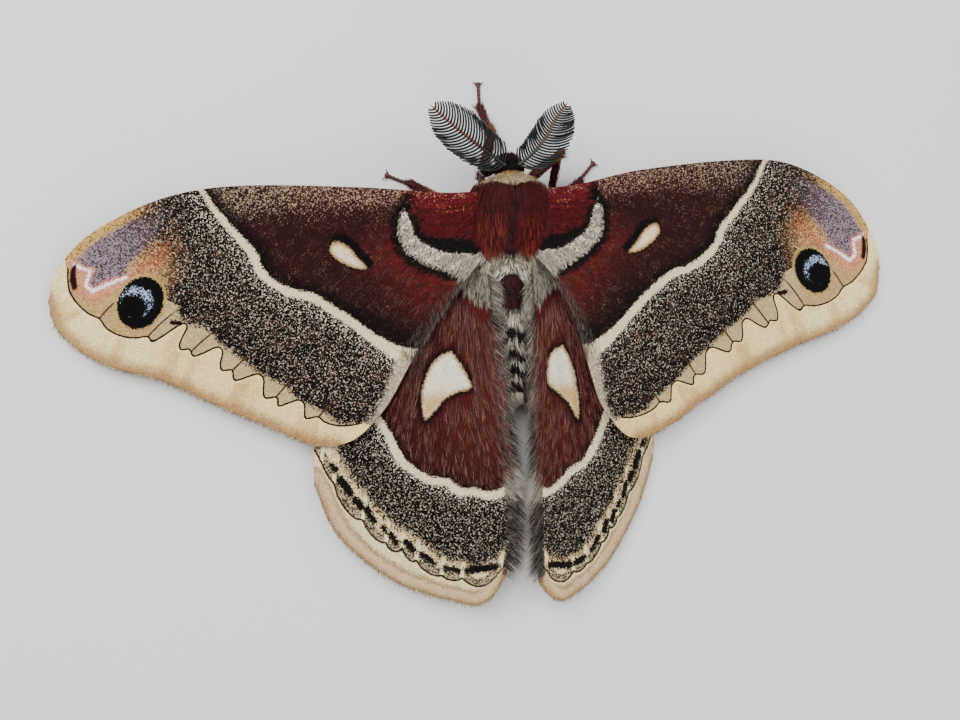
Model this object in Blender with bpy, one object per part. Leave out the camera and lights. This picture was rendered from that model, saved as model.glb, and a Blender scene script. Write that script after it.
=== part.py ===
"""Glover's silkmoth, an adult male, as a still life-size model.

The moth stands on its six feet with the wings spread and drooping to their tips.
Its long axis runs along Y with the head at +Y, X points to its right side and
Z is up, and the feet stand at Z = 0. Every length below is in millimetres; the
MM factor turns them into metres where meshes are made. While the pieces are
modelled, the origin is the floor point below the middle of the thorax.
"""
import math
import random

import bmesh
import bpy
from mathutils import Vector

MM = 0.001
GAP = 0.3                 # clear space between pieces that meet
WING_THICKNESS = 0.5
SIDES = (("left", -1), ("right", 1))

# Body pieces, front to back: y, half width, underside, top.
HEAD_RINGS = (
    (9.1, 0.9, 6.6, 8.4),
    (8.8, 1.5, 6.0, 9.0),
    (8.1, 2.0, 5.5, 9.5),
    (7.2, 2.2, 5.4, 9.7),
    (6.6, 1.9, 5.8, 9.4),
)
THORAX_RINGS = (
    (6.3, 2.2, 5.6, 9.9),
    (5.5, 3.2, 4.8, 10.8),
    (3.6, 3.9, 4.1, 11.6),
    (0.6, 4.1, 3.9, 11.9),
    (-2.4, 3.8, 4.2, 11.3),
    (-4.2, 3.1, 4.9, 10.4),
    (-4.8, 2.5, 5.4, 9.8),
)
ABDOMEN_FRONT = THORAX_RINGS[-1][0] - GAP
ABDOMEN_END = -22.8
ABDOMEN_HALF_WIDTH = 3.4
ABDOMEN_HALF_HEIGHT = 3.0
ABDOMEN_TIP_SHARE = 0.38  # of the width left at the last segment
ABDOMEN_FRONT_Z = 6.3
ABDOMEN_END_Z = 5.0
ABDOMEN_SEGMENTS = 7
ABDOMEN_TAPER = 1.6       # the width shrinks with this power of the length
SEGMENT_PROFILE = ((0.0, 0.93), (0.35, 1.0), (0.8, 1.0))    # share of a segment, share of its width
TAIL_SHARE = 0.6          # of the last segment's width left at the tip
BODY_SIDES = 16
LIMB_SIDES = 6

# The coat in flat tapered locks. Each row: y, the angle from straight up that it
# spans on either side, count, length, width, lean outwards and rise off the body.
LOCK_SEED = 11
LOCK_SINK = 0.7           # depth of a lock's root in the body
LOCK_THICKNESS = 0.55
COAT_ROWS = (
    (5.6, 62, 6, 4.4, 1.4, 0.35, 0.9),
    (4.1, 64, 7, 4.6, 1.4, 0.50, 0.9),
    (2.5, 64, 6, 5.0, 1.5, 0.60, 1.0),
    (0.9, 62, 7, 5.0, 1.5, 0.65, 1.0),
    (-0.8, 62, 6, 5.2, 1.5, 0.65, 1.0),
    (-2.4, 62, 7, 5.6, 1.4, 0.60, 0.9),
    (-3.9, 66, 8, 6.2, 1.3, 0.50, 0.7),
)
COAT_FALL = 0.15          # most that a lock dips along its length
COLLAR_ROW = (5.5, 82, 9, 2.1, 1.3, 1.1, 0.5)
TAIL_LOCKS = 7
TAIL_LOCK_LENGTH = 2.4
TAIL_LOCK_WIDTH = 0.9
TAIL_LOCK_RISE = 0.2
TAIL_LOCK_INSET = 0.6     # roots stand this far ahead of the tip
LOCK_PROFILE = ((0.0, 0.7), (0.28, 1.0), (0.62, 0.75), (1.0, 0.0))    # share of a lock, share of its width

PALP_ROUTE = ((0.7, 8.6, 6.5, 0.55), (0.8, 9.5, 6.1, 0.5), (0.8, 10.2, 6.3, 0.3))
EYE_RADIUS = 1.1
EYE_CENTRE = (1.75, 7.9, 6.9)

# Feelers: the shaft's route on the right side and the feather's half widths.
ANTENNA_ROUTE = (
    (1.2, 7.9, 9.75),
    (2.5, 8.8, 10.3),
    (4.1, 10.1, 10.6),
    (5.6, 11.6, 10.7),
    (6.9, 13.1, 10.6),
    (8.1, 14.5, 10.5),
    (9.25, 15.7, 10.4),
)
ANTENNA_SHAFT_RADIUS = 0.3
ANTENNA_RAYS = 13         # in each of the two rows of a feeler
RAY_RADIUS = 0.27
RAY_REACH = 3.1           # the longest ray
RAY_LEAN = 0.62           # how far a ray sweeps towards the feeler's tip
RAY_ROWS = ((1, 8.0), (-1, 48.0))   # outer and inner row, degrees above level
RAY_PROFILE = ((0.0, 1.0), (0.5, 0.85), (1.0, 0.0))         # share of a ray, share of its radius
RAY_SPAN = (0.25, 0.91)   # part of a half sine wave that the ray lengths follow from base to tip

# Wing outlines as x, y points, from the thorax outwards, each wing its own.
WING_OUTLINES = {
    "forewing_left": {
        "costa": ((-8.6, 4.7), (-19.0, 6.4), (-34.9, 7.6), (-45.3, 6.3),
                  (-54.4, 2.1), (-58.8, -2.4)),
        "apex": (-60.3, -6.2),
        "outer": ((-59.3, -10.5), (-54.4, -14.9), (-47.0, -17.7), (-40.2, -21.5),
                  (-32.0, -25.8), (-28.1, -27.8)),
        "tornus": (-24.6, -28.4),
        "inner": ((-8.5, -9.7), (-13.5, -17.0), (-17.1, -22.8), (-19.7, -25.7),
                  (-22.0, -27.5)),
    },
    "forewing_right": {
        "costa": ((11.2, 5.4), (21.0, 7.6), (35.9, 9.0), (45.9, 8.3),
                  (54.9, 3.3), (59.3, -3.4)),
        "apex": (60.5, -8.0),
        "outer": ((59.0, -12.7), (53.5, -16.7), (44.8, -19.4), (36.1, -22.7),
                  (28.3, -26.8), (22.2, -30.0)),
        "tornus": (18.4, -31.0),
        "inner": ((8.0, -10.7), (10.5, -19.2), (12.0, -24.8), (13.8, -27.8),
                  (16.0, -30.2)),
    },
    "hindwing_left": {
        "costa": ((-12.0, -5.0), (-20.0, -11.5), (-25.5, -20.0), (-27.6, -28.0)),
        "apex": (-28.1, -33.4),
        "outer": ((-25.1, -41.2), (-18.0, -48.0), (-9.0, -51.8), (-5.6, -51.7)),
        "tornus": (-2.9, -48.6),
        "inner": ((-2.8, -8.0), (-2.6, -18.0), (-1.8, -28.0), (-1.2, -37.0),
                  (-1.6, -43.5)),
    },
    "hindwing_right": {
        "costa": ((10.5, -5.5), (16.0, -12.0), (20.0, -20.5), (21.5, -28.0)),
        "apex": (21.4, -34.2),
        "outer": ((18.3, -41.5), (12.9, -49.0), (7.2, -52.7), (4.2, -52.6)),
        "tornus": (1.8, -49.6),
        "inner": ((3.1, -8.0), (2.8, -18.0), (2.2, -28.0), (2.0, -37.0),
                  (1.8, -44.0)),
    },
}
# Root chords on the thorax side, as y at the front and the rear edge.
FOREWING_ROOT = (4.2, -3.6)
HINDWING_ROOT = (-1.6, -4.4)

# Main veins of each wing: where each leaves the root chord and where it meets
# the outer margin, both counted from the front edge as shares.
FOREWING_VEINS = ((0.14, 0.08), (0.24, 0.19), (0.34, 0.33), (0.48, 0.455),
                  (0.58, 0.58), (0.68, 0.73), (0.84, 0.86))
HINDWING_VEINS = ((0.14, 0.10), (0.26, 0.24), (0.38, 0.39), (0.50, 0.54),
                  (0.62, 0.69), (0.74, 0.83), (0.87, 0.94))
# How the wings fall: height at the tip, drop from root to tip and the length over
# which it happens; near the body a wing dips to meet the thorax side.
FOREWING_FALL = (2.2, 8.0, 16.0)
HINDWING_FALL = {"left": (1.5, 7.5, 15.0), "right": (1.2, 7.9, 10.0)}
FOREWING_START, HINDWING_START = 4.0, 2.4      # distance from the middle where the fall starts
HINDWING_SINK = (0.4, 18.0, 32.0)              # share lost to the rear, where it starts, over what length
ROOT_DIP = (0.35, 5.0)                         # strength, and the x inside which it acts
VEIN_FORK = 0.3           # share of the wing's length where the veins spread
VEIN_HEIGHT = 0.2
VEIN_HALF_WIDTH = 0.35
WING_ROWS = 12

# Legs: route from hip to claws with the half width at each joint, right side.
# Each tarsus lies flat, so its z follows from its half height.
FOOT_HALF_HEIGHT = 0.32
FOOT_JOINTS = 5
FOOT_PAD_HALF_WIDTH = 0.5
CLAW_LENGTH = 0.9
CLAW_RADIUS = 0.2
CLAW_SPREAD = 32          # degrees off the foot's line
CLAW_PROFILE = ((0.1, 0.0), (0.65, 0.12), (1.15, -0.12))    # share of the length, rise
FOOT_JOINT_PROFILE = ((0.0, 0.78), (0.7, 1.0))              # share of a joint, share of its width
FOOT_PAD_PROFILE = ((0.0, 1.0), (0.25, 1.0), (0.5, 0.6))    # reach past the last joint, share of the width
JOINT_ROUNDING = 0.7      # a bend starts and ends this far from the joint
LEG_SWELL = 1.25          # thigh and shin midway, as a share of the joint
LEG_ROUTES = {
    "foreleg_left": ((-1.6, 5.2, 5.4, 0.75), (-2.0, 7.4, 3.2, 0.62), (-0.3, 13.2, 4.5, 0.52),
                     (-0.95, 18.0, 1.0, 0.42), (-0.95, 18.8, 0, 0.34), (-0.9, 21.6, 0, 0.34)),
    "foreleg_right": ((1.6, 5.2, 5.4, 0.75), (3.9, 6.4, 3.6, 0.62), (9.2, 10.2, 4.3, 0.52),
                      (9.1, 7.4, 1.1, 0.42), (9.2, 6.6, 0, 0.34), (9.9, 3.0, 0, 0.34)),
    "midleg_left": ((-2.6, 1.8, 4.6, 0.75), (-3.6, 2.4, 3.0, 0.62), (-7.6, 4.2, 4.8, 0.52),
                    (-11.4, 7.4, 1.1, 0.42), (-12.1, 7.8, 0, 0.34), (-14.8, 9.0, 0, 0.34)),
    "midleg_right": ((2.6, 1.8, 4.6, 0.75), (3.6, 2.4, 3.0, 0.62), (8.6, 3.6, 4.8, 0.52),
                     (12.9, 6.9, 1.1, 0.42), (13.4, 7.5, 0, 0.34), (15.5, 9.7, 0, 0.34)),
    "hindleg_left": ((-2.6, -2.0, 4.6, 0.75), (-3.4, -2.8, 3.0, 0.62), (-6.4, -7.0, 4.6, 0.52),
                     (-9.4, -13.4, 1.1, 0.42), (-9.8, -14.2, 0, 0.34), (-11.6, -18.8, 0, 0.34)),
    "hindleg_right": ((2.6, -2.0, 4.6, 0.75), (3.4, -2.8, 3.0, 0.62), (6.4, -7.0, 4.6, 0.52),
                      (9.0, -13.4, 1.1, 0.42), (9.4, -14.2, 0, 0.34), (11.0, -18.8, 0, 0.34)),
}

# Colour, roughness and metallic value of each finish.
FINISHES = {
    "wing_scales": ((0.16, 0.05, 0.04, 1.0), 0.85, 0.0),
    "body_fur": ((0.35, 0.04, 0.03, 1.0), 0.9, 0.0),
    "pale_fur": ((0.62, 0.55, 0.48, 1.0), 0.9, 0.0),
    "feeler_horn": ((0.12, 0.08, 0.06, 1.0), 0.6, 0.0),
    "leg_scales": ((0.22, 0.03, 0.03, 1.0), 0.75, 0.0),
    "eye_lens": ((0.02, 0.015, 0.012, 1.0), 0.2, 0.0),
}


def make_material(name):
    """A Principled material with the finish's own values."""
    colour, roughness, metallic = FINISHES[name]
    material = bpy.data.materials.new(name)
    material.use_nodes = True
    shader = material.node_tree.nodes["Principled BSDF"]
    shader.inputs["Base Color"].default_value = colour
    shader.inputs["Roughness"].default_value = roughness
    shader.inputs["Metallic"].default_value = metallic
    material.diffuse_color = colour
    return material


def make_object(name, points, faces, finish=None):
    """One closed mesh object from millimetre points."""
    mesh = bpy.data.meshes.new(name)
    mesh.from_pydata([Vector(p) * MM for p in points], [], faces)
    mesh.update()
    solid = bmesh.new()
    solid.from_mesh(mesh)
    bmesh.ops.recalc_face_normals(solid, faces=solid.faces)
    solid.to_mesh(mesh)
    solid.free()
    obj = bpy.data.objects.new(name, mesh)
    bpy.context.collection.objects.link(obj)
    if finish:
        mesh.materials.append(finish)
        mesh.shade_smooth()
        mesh.set_sharp_from_angle(angle=math.radians(50))
    return obj


def as_cutter(obj):
    obj.hide_render = True
    obj.display_type = "WIRE"
    return obj


def cut(target, cutter):
    """Take the cutter's volume out of the target."""
    boolean = target.modifiers.new("cut_" + cutter.name, "BOOLEAN")
    boolean.operation = "DIFFERENCE"
    boolean.object = cutter


def apply_modifiers(obj):
    graph = bpy.context.evaluated_depsgraph_get()
    mesh = bpy.data.meshes.new_from_object(obj.evaluated_get(graph))
    obj.modifiers.clear()
    obj.data = mesh


def keep_largest(obj):
    """Drop every closed surface but the largest one."""
    solid = bmesh.new()
    solid.from_mesh(obj.data)
    left = set(solid.faces)
    shells = []
    while left:
        shell, edge_of = [], [left.pop()]
        while edge_of:
            face = edge_of.pop()
            shell.append(face)
            for edge in face.edges:
                for other in edge.link_faces:
                    if other in left:
                        left.remove(other)
                        edge_of.append(other)
        shells.append(shell)
    shells.sort(key=lambda shell: sum(face.calc_area() for face in shell))
    spare = [face for shell in shells[:-1] for face in shell]
    bmesh.ops.delete(solid, geom=spare, context="FACES")
    solid.to_mesh(obj.data)
    solid.free()


def fuse(target, pieces):
    """Join closed pieces to the target in one union and keep one closed surface."""
    crowd = bpy.data.collections.new(target.name + "_pieces")
    bpy.context.scene.collection.children.link(crowd)
    for piece in pieces:
        for home in list(piece.users_collection):
            home.objects.unlink(piece)
        crowd.objects.link(piece)
    union = target.modifiers.new("union", "BOOLEAN")
    union.operation = "UNION"
    union.operand_type = "COLLECTION"
    union.collection = crowd
    apply_modifiers(target)
    for piece in pieces:
        bpy.data.objects.remove(piece)
    bpy.data.collections.remove(crowd)
    keep_largest(target)


def blend(a, b, share):
    return a + (b - a) * share


def smooth_step(value):
    value = min(max(value, 0.0), 1.0)
    return value * value * (3 - 2 * value)


def smooth_path(points, per_span=8):
    """Points of a Catmull-Rom curve through the given ones."""
    points = [Vector(p) for p in points]
    padded = [points[0] * 2 - points[1]] + points + [points[-1] * 2 - points[-2]]
    path = []
    for a, b, c, d in zip(padded, padded[1:], padded[2:], padded[3:]):
        for step in range(per_span):
            t = step / per_span
            path.append(0.5 * (2 * b + (c - a) * t + (2 * a - 5 * b + 4 * c - d) * t * t
                               + (3 * b - a - 3 * c + d) * t ** 3))
    path.append(points[-1])
    return path


def point_at(path, share):
    """The point at a share of a path's length."""
    lengths = [(b - a).length for a, b in zip(path, path[1:])]
    left = share * sum(lengths)
    for a, b, length in zip(path, path[1:], lengths):
        if left <= length:
            return a.lerp(b, left / length)
        left -= length
    return path[-1].copy()


def loft(name, rings, finish=None):
    """A closed solid through rings of points; a last ring of one point ends it in a tip."""
    count = len(rings[0])
    points = [p for ring in rings for p in ring]
    faces = []
    whole = [k for k, ring in enumerate(rings) if len(ring) == count]
    for r in whole[:-1]:
        for k in range(count):
            n = (k + 1) % count
            a, b = r * count + k, r * count + n
            faces.append((a, b, b + count, a + count))
    ends = [0] if len(rings[-1]) == 1 else [0, whole[-1]]
    for r in ends:
        points.append(sum((Vector(p) for p in rings[r]), Vector()) / count)
        for k in range(count):
            faces.append((r * count + k, r * count + (k + 1) % count, len(points) - 1))
    if len(rings[-1]) == 1:
        last, tip = whole[-1] * count, len(whole) * count
        for k in range(count):
            faces.append((last + k, last + (k + 1) % count, tip))
    return make_object(name, points, faces, finish)


def body_ring(y, half_width, low, high, grow=0.0):
    """An upright oval ring across the body."""
    middle = (low + high) / 2
    half_height = (high - low) / 2 + grow
    ring = []
    for k in range(BODY_SIDES):
        angle = 2 * math.pi * k / BODY_SIDES
        ring.append((math.cos(angle) * (half_width + grow), y, middle + math.sin(angle) * half_height))
    return ring


def section_at(rings, y):
    """Half width, underside and top of a ringed body at one place along it."""
    for front, rear in zip(rings, rings[1:]):
        if front[0] >= y >= rear[0]:
            share = (front[0] - y) / (front[0] - rear[0])
            return [blend(front[k], rear[k], share) for k in (1, 2, 3)]
    return list(rings[-1][1:])


def half_width_at(rings, y, z):
    """Half width of a ringed body at one height, by its ovals."""
    width, low, high = section_at(rings, y)
    reach = (z - (low + high) / 2) / ((high - low) / 2)
    return width * math.sqrt(max(0.0, 1 - reach * reach))


def root_dip(x):
    """How far a wing bends down close to the body, to meet its side."""
    strength, reach = ROOT_DIP
    return strength * max(reach - abs(x), 0.0) ** 2


def forewing_height(x, y):
    """The forewings fall from the thorax to their tips."""
    tip, drop, length = FOREWING_FALL
    return tip + drop * math.exp(-(abs(x) - FOREWING_START) / length) - root_dip(x)


def hindwing_height(x, y):
    """The hindwings lie lower, and the right one droops more steeply."""
    lost, start, over = HINDWING_SINK
    tip, drop, length = HINDWING_FALL["left" if x < 0 else "right"]
    sunk = 1 - lost * smooth_step((-y - start) / over)
    return tip + drop * math.exp(-(abs(x) - HINDWING_START) / length) * sunk


def thorax_side(side, y, height):
    """The x where a wing of this height meets the thorax, clear of it by the gap."""
    x = THORAX_RINGS[3][1]
    for _ in range(4):
        x = half_width_at(THORAX_RINGS, y, height(side * x, y)) + GAP
    return side * x


def wing_sides(name, root_rows, height):
    """The four smooth sides of a wing: costa, inner margin, root chord and outer margin."""
    outline = WING_OUTLINES[name]
    side = -1 if name.endswith("left") else 1
    steps = 8
    root_ys = [blend(*root_rows, step / steps) for step in range(steps + 1)]
    root = [Vector((thorax_side(side, y, height), y)) for y in root_ys]
    apex, tornus = Vector(outline["apex"]), Vector(outline["tornus"])
    costa = smooth_path([root[0], *outline["costa"], apex])
    inner = smooth_path([root[-1], *outline["inner"], tornus])
    outer = smooth_path([apex, *outline["outer"], tornus])
    return costa, inner, root, outer


def wing_point(sides, u, v):
    """A point of the wing, u from root to outer margin and v from costa to inner margin."""
    costa, inner, root, outer = sides
    across = point_at(costa, u).lerp(point_at(inner, u), v)
    along = point_at(root, v).lerp(point_at(outer, v), u)
    corners = costa[0].lerp(inner[0], v).lerp(costa[-1].lerp(inner[-1], v), u)
    return across + along - corners


def vein_lines(veins, u, chord):
    """One row's chordwise shares with the height of each: edges, veins and the lines between."""
    spread = smooth_step((u - VEIN_FORK) / (1 - VEIN_FORK))
    crests = [blend(start, end, spread) for start, end in veins]
    gaps = [b - a for a, b in zip([0.0] + crests, crests + [1.0])]
    foot = min(VEIN_HALF_WIDTH / chord, 0.3 * min(gaps))
    lines = [(0.0, VEIN_HEIGHT), (foot, 0.0)]
    for before, crest in zip([0.0] + crests, crests):
        lines += [(blend(before, crest, 0.5), 0.0), (crest - foot, 0.0),
                  (crest, VEIN_HEIGHT), (crest + foot, 0.0)]
    return lines + [(1.0, 0.0)]


def make_wing(name, root_rows, height, veins, finish=None, grow=0.0):
    """A thin curved wing with veins raised in its upper face, split alike above and below."""
    sides = wing_sides(name, root_rows, height)
    above, below = [], []
    for i in range(WING_ROWS + 1):
        u = i / WING_ROWS
        chord = (wing_point(sides, u, 0.0) - wing_point(sides, u, 1.0)).length
        for v, ridge in vein_lines(veins, u, chord):
            place = wing_point(sides, u, v)
            z = height(place.x, place.y)
            above.append((place.x, place.y, z + WING_THICKNESS / 2 + ridge + grow))
            below.append((place.x, place.y, z - WING_THICKNESS / 2 - grow))
    columns = len(above) // (WING_ROWS + 1) - 1
    across = columns + 1
    under = len(above)
    faces = []
    for i in range(WING_ROWS):
        for j in range(columns):
            a = i * across + j
            b, c, d = a + 1, a + across + 1, a + across
            pair = ((a, b, d), (b, c, d)) if 2 * j < columns else ((a, b, c), (a, c, d))
            for face in pair:
                faces.append(face)
                faces.append(tuple(k + under for k in reversed(face)))
    edge = (list(range(across)) + [i * across + columns for i in range(1, WING_ROWS + 1)]
            + [WING_ROWS * across + j for j in reversed(range(columns))]
            + [i * across for i in reversed(range(1, WING_ROWS))])
    for a, b in zip(edge, edge[1:] + edge[:1]):
        faces.append((a, a + under, b + under))
        faces.append((a, b + under, b))
    return make_object(name, above + below, faces, finish)


def tube(name, path, half_sizes, finish=None, sides=LIMB_SIDES):
    """A closed tube along a path with a flat side down; half_sizes are (across, up) pairs.

    A last pair of zeros ends the tube in a point.
    """
    rings = []
    for k, place in enumerate(path):
        before = path[max(k - 1, 0)]
        after = path[min(k + 1, len(path) - 1)]
        ahead = (Vector(after) - Vector(before)).normalized()
        across = ahead.cross(Vector((0, 0, 1))).normalized()
        up = across.cross(ahead)
        half_width, half_height = half_sizes[k]
        ring = []
        for s in range(sides if half_width else 1):
            angle = 2 * math.pi * (s + 0.5) / sides - math.pi / 2
            ring.append(Vector(place) + across * math.cos(angle) * half_width
                        + up * math.sin(angle) * half_height)
        rings.append(ring)
    return loft(name, rings, finish)


def leg_path(route):
    """The leg's upper part with rounded joints, thigh and shin a little thicker midway."""
    path, sizes = [], []
    for k, (x, y, z, half) in enumerate(route):
        place = Vector((x, y, z))
        if k in (1, 2):
            for other in (route[k - 1], route[k + 1]):
                toward = (Vector(other[:3]) - place).normalized()
                path.append(place + toward * JOINT_ROUNDING)
                sizes.append((half, half))
        else:
            path.append(place)
            sizes.append((half, half))
        if k in (1, 2):
            middle = place.lerp(Vector(route[k + 1][:3]), 0.45)
            swell = LEG_SWELL * half
            path.append(middle)
            sizes.append((swell, swell))
    return path, sizes


def make_leg(name, finish):
    """Hip, thigh, shin and a jointed foot with its pad and claws flat on the floor."""
    route = LEG_ROUTES[name]
    path, sizes = leg_path(route[:4])
    foot_z = FOOT_HALF_HEIGHT * math.cos(math.pi / LIMB_SIDES)
    heel, toe = (Vector((x, y, foot_z)) for x, y, _, _ in route[4:])
    wide = route[4][3]
    for k in range(FOOT_JOINTS):
        for share, width in FOOT_JOINT_PROFILE:
            path.append(heel.lerp(toe, (k + share) / FOOT_JOINTS))
            sizes.append((wide * width, FOOT_HALF_HEIGHT))
    along = (toe - heel).normalized()
    for reach, width in FOOT_PAD_PROFILE:
        path.append(toe + along * reach)
        sizes.append((FOOT_PAD_HALF_WIDTH * width, FOOT_HALF_HEIGHT))
    leg = tube(name, path, sizes, finish)
    claws = []
    for turn in (-1, 1):
        angle = math.radians(turn * CLAW_SPREAD)
        aim = Vector((along.x * math.cos(angle) - along.y * math.sin(angle),
                      along.x * math.sin(angle) + along.y * math.cos(angle), 0))
        claw = [toe + aim * reach * CLAW_LENGTH + Vector((0, 0, rise)) for reach, rise in CLAW_PROFILE]
        claws.append(tube("claw", claw, [(CLAW_RADIUS, CLAW_RADIUS)] * 2 + [(0, 0)], sides=4))
    fuse(leg, claws)
    return leg


def make_antenna(name, side, finish):
    """A feeler: a shaft with two rows of rays that sweep towards its tip."""
    route = smooth_path([(side * x, y, z) for x, y, z in ANTENNA_ROUTE], 2)
    radii = [blend(ANTENNA_SHAFT_RADIUS, 0.6 * ANTENNA_SHAFT_RADIUS, k / (len(route) - 1))
             for k in range(len(route))]
    radii[0] = radii[1] = 1.5 * ANTENNA_SHAFT_RADIUS
    shaft = tube(name, route, [(r, r) for r in radii], finish)
    rays = []
    for k in range(ANTENNA_RAYS):
        share = (k + 1) / (ANTENNA_RAYS + 0.6)
        base = point_at(route, share)
        ahead = (point_at(route, min(share + 0.03, 1.0)) - base).normalized()
        outwards = side * Vector((ahead.y, -ahead.x, 0)).normalized()
        reach = RAY_REACH * math.sin(math.pi * blend(*RAY_SPAN, share))
        for row, tilt in RAY_ROWS:
            tilt = math.radians(tilt)
            aim = outwards * row * math.cos(tilt) + Vector((0, 0, math.sin(tilt)))
            path, sizes = [], []
            for t, size in RAY_PROFILE:
                sweep = RAY_LEAN * (0.45 * t + 0.55 * t * t)
                path.append(base + aim * reach * t + ahead * reach * sweep)
                sizes.append((RAY_RADIUS * size, RAY_RADIUS * size))
            rays.append(tube("ray", path, sizes, sides=3))
    fuse(shaft, rays)
    return shaft


def make_lock(root, normal, lie, length, width, rise):
    """A flat tapered lock that leaves the body, bends over and follows its lie."""
    rings = []
    across = normal.cross(lie).normalized()
    for t, size in LOCK_PROFILE:
        lift = blend(-LOCK_SINK, rise, smooth_step(2.2 * t)) - rise * t * t
        middle = root + lie * length * t + normal * lift
        half_width = across * width / 2 * size
        half_depth = normal * LOCK_THICKNESS / 2 * (0.4 + 0.6 * size)
        if size:
            rings.append([middle + half_width, middle + half_depth,
                          middle - half_width, middle - half_depth])
        else:
            rings.append([middle])
    return loft("lock", rings)


def coat_row(draw, y, spread, count, length, width, lean, rise, ahead=-1.0):
    """One row of locks across the thorax, from one side over the back to the other."""
    locks = []
    half_width, low, high = section_at(THORAX_RINGS, y)
    half_height = (high - low) / 2
    fall = min(COAT_FALL, max(0.0, high - section_at(THORAX_RINGS, y - 1)[2]))
    for k in range(count):
        angle = math.radians(spread * (2 * (k + 0.5) / count - 1) + draw.uniform(-3, 3))
        root = Vector((half_width * math.sin(angle), y + draw.uniform(-0.3, 0.3),
                       low + half_height * (1 + math.cos(angle))))
        normal = Vector((math.sin(angle) / half_width, 0, math.cos(angle) / half_height)).normalized()
        lie = Vector((lean * math.sin(angle) + draw.uniform(-0.12, 0.12), ahead, -fall)).normalized()
        locks.append(make_lock(root, normal, lie, length * draw.uniform(0.85, 1.15),
                               width * draw.uniform(0.85, 1.15), rise * draw.uniform(0.8, 1.2)))
    return locks


def tail_locks():
    """The tuft at the tip of the abdomen."""
    tip = Vector((0, ABDOMEN_END, ABDOMEN_END_Z))
    radius = ABDOMEN_HALF_WIDTH * ABDOMEN_TIP_SHARE * TAIL_SHARE
    locks = []
    for k in range(TAIL_LOCKS):
        angle = 2 * math.pi * (k + 0.5) / TAIL_LOCKS
        normal = Vector((math.sin(angle), 0, math.cos(angle)))
        root = tip + normal * radius + Vector((0, TAIL_LOCK_INSET, 0))
        locks.append(make_lock(root, normal, Vector((0, -1, 0)), TAIL_LOCK_LENGTH, TAIL_LOCK_WIDTH,
                               TAIL_LOCK_RISE))
    return locks


def make_eye(name, side, grow=0.0, finish=None):
    """A compound eye, round and smooth."""
    solid = bmesh.new()
    bmesh.ops.create_uvsphere(solid, u_segments=14, v_segments=9, radius=(EYE_RADIUS + grow) * MM)
    x, y, z = EYE_CENTRE
    bmesh.ops.translate(solid, vec=Vector((side * x, y, z)) * MM, verts=solid.verts)
    mesh = bpy.data.meshes.new(name)
    solid.to_mesh(mesh)
    solid.free()
    mesh.shade_smooth()
    if finish:
        mesh.materials.append(finish)
    obj = bpy.data.objects.new(name, mesh)
    bpy.context.collection.objects.link(obj)
    return obj


def make_head(finish):
    """The head capsule with its two palps below the face."""
    head = loft("head", [body_ring(*ring) for ring in HEAD_RINGS], finish)
    palps = []
    for _, side in SIDES:
        path = [(side * x, y, z) for x, y, z, _ in PALP_ROUTE]
        palps.append(tube("palp", path, [(half, half) for _, _, _, half in PALP_ROUTE]))
    fuse(head, palps)
    return head


def make_abdomen(finish):
    """Seven telescoping segments that taper to a tufted tip."""
    rings = []
    for k in range(ABDOMEN_SEGMENTS):
        for share, swell in SEGMENT_PROFILE:
            along = (k + share) / ABDOMEN_SEGMENTS
            y = blend(ABDOMEN_FRONT, ABDOMEN_END, along)
            size = blend(1.0, ABDOMEN_TIP_SHARE, along ** ABDOMEN_TAPER) * swell
            z = blend(ABDOMEN_FRONT_Z, ABDOMEN_END_Z, along)
            rings.append(body_ring(y, ABDOMEN_HALF_WIDTH * size, z - ABDOMEN_HALF_HEIGHT * size,
                                   z + ABDOMEN_HALF_HEIGHT * size))
    tip = ABDOMEN_TIP_SHARE * TAIL_SHARE
    rings.append(body_ring(ABDOMEN_END, ABDOMEN_HALF_WIDTH * tip, ABDOMEN_END_Z - ABDOMEN_HALF_HEIGHT * tip,
                           ABDOMEN_END_Z + ABDOMEN_HALF_HEIGHT * tip))
    abdomen = loft("abdomen", rings, finish)
    fuse(abdomen, tail_locks())
    return abdomen


def stand_on_origin(pieces):
    """Move the whole moth so that the middle of its box is above the origin."""
    bpy.context.view_layer.update()
    corners = [vertex.co for piece in pieces for vertex in piece.data.vertices]
    shift = Vector([-(min(c[k] for c in corners) + max(c[k] for c in corners)) / 2 for k in (0, 1)] + [0.0])
    for obj in bpy.data.objects:
        obj.location = shift


def make_thorax(finish):
    """The furry middle of the body: a core under rows of overlapping locks."""
    draw = random.Random(LOCK_SEED)
    thorax = loft("thorax", [body_ring(*ring) for ring in THORAX_RINGS], finish)
    locks = [lock for row in COAT_ROWS for lock in coat_row(draw, *row)]
    locks += coat_row(draw, *COLLAR_ROW, ahead=0.5)
    fuse(thorax, locks)
    return thorax


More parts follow.
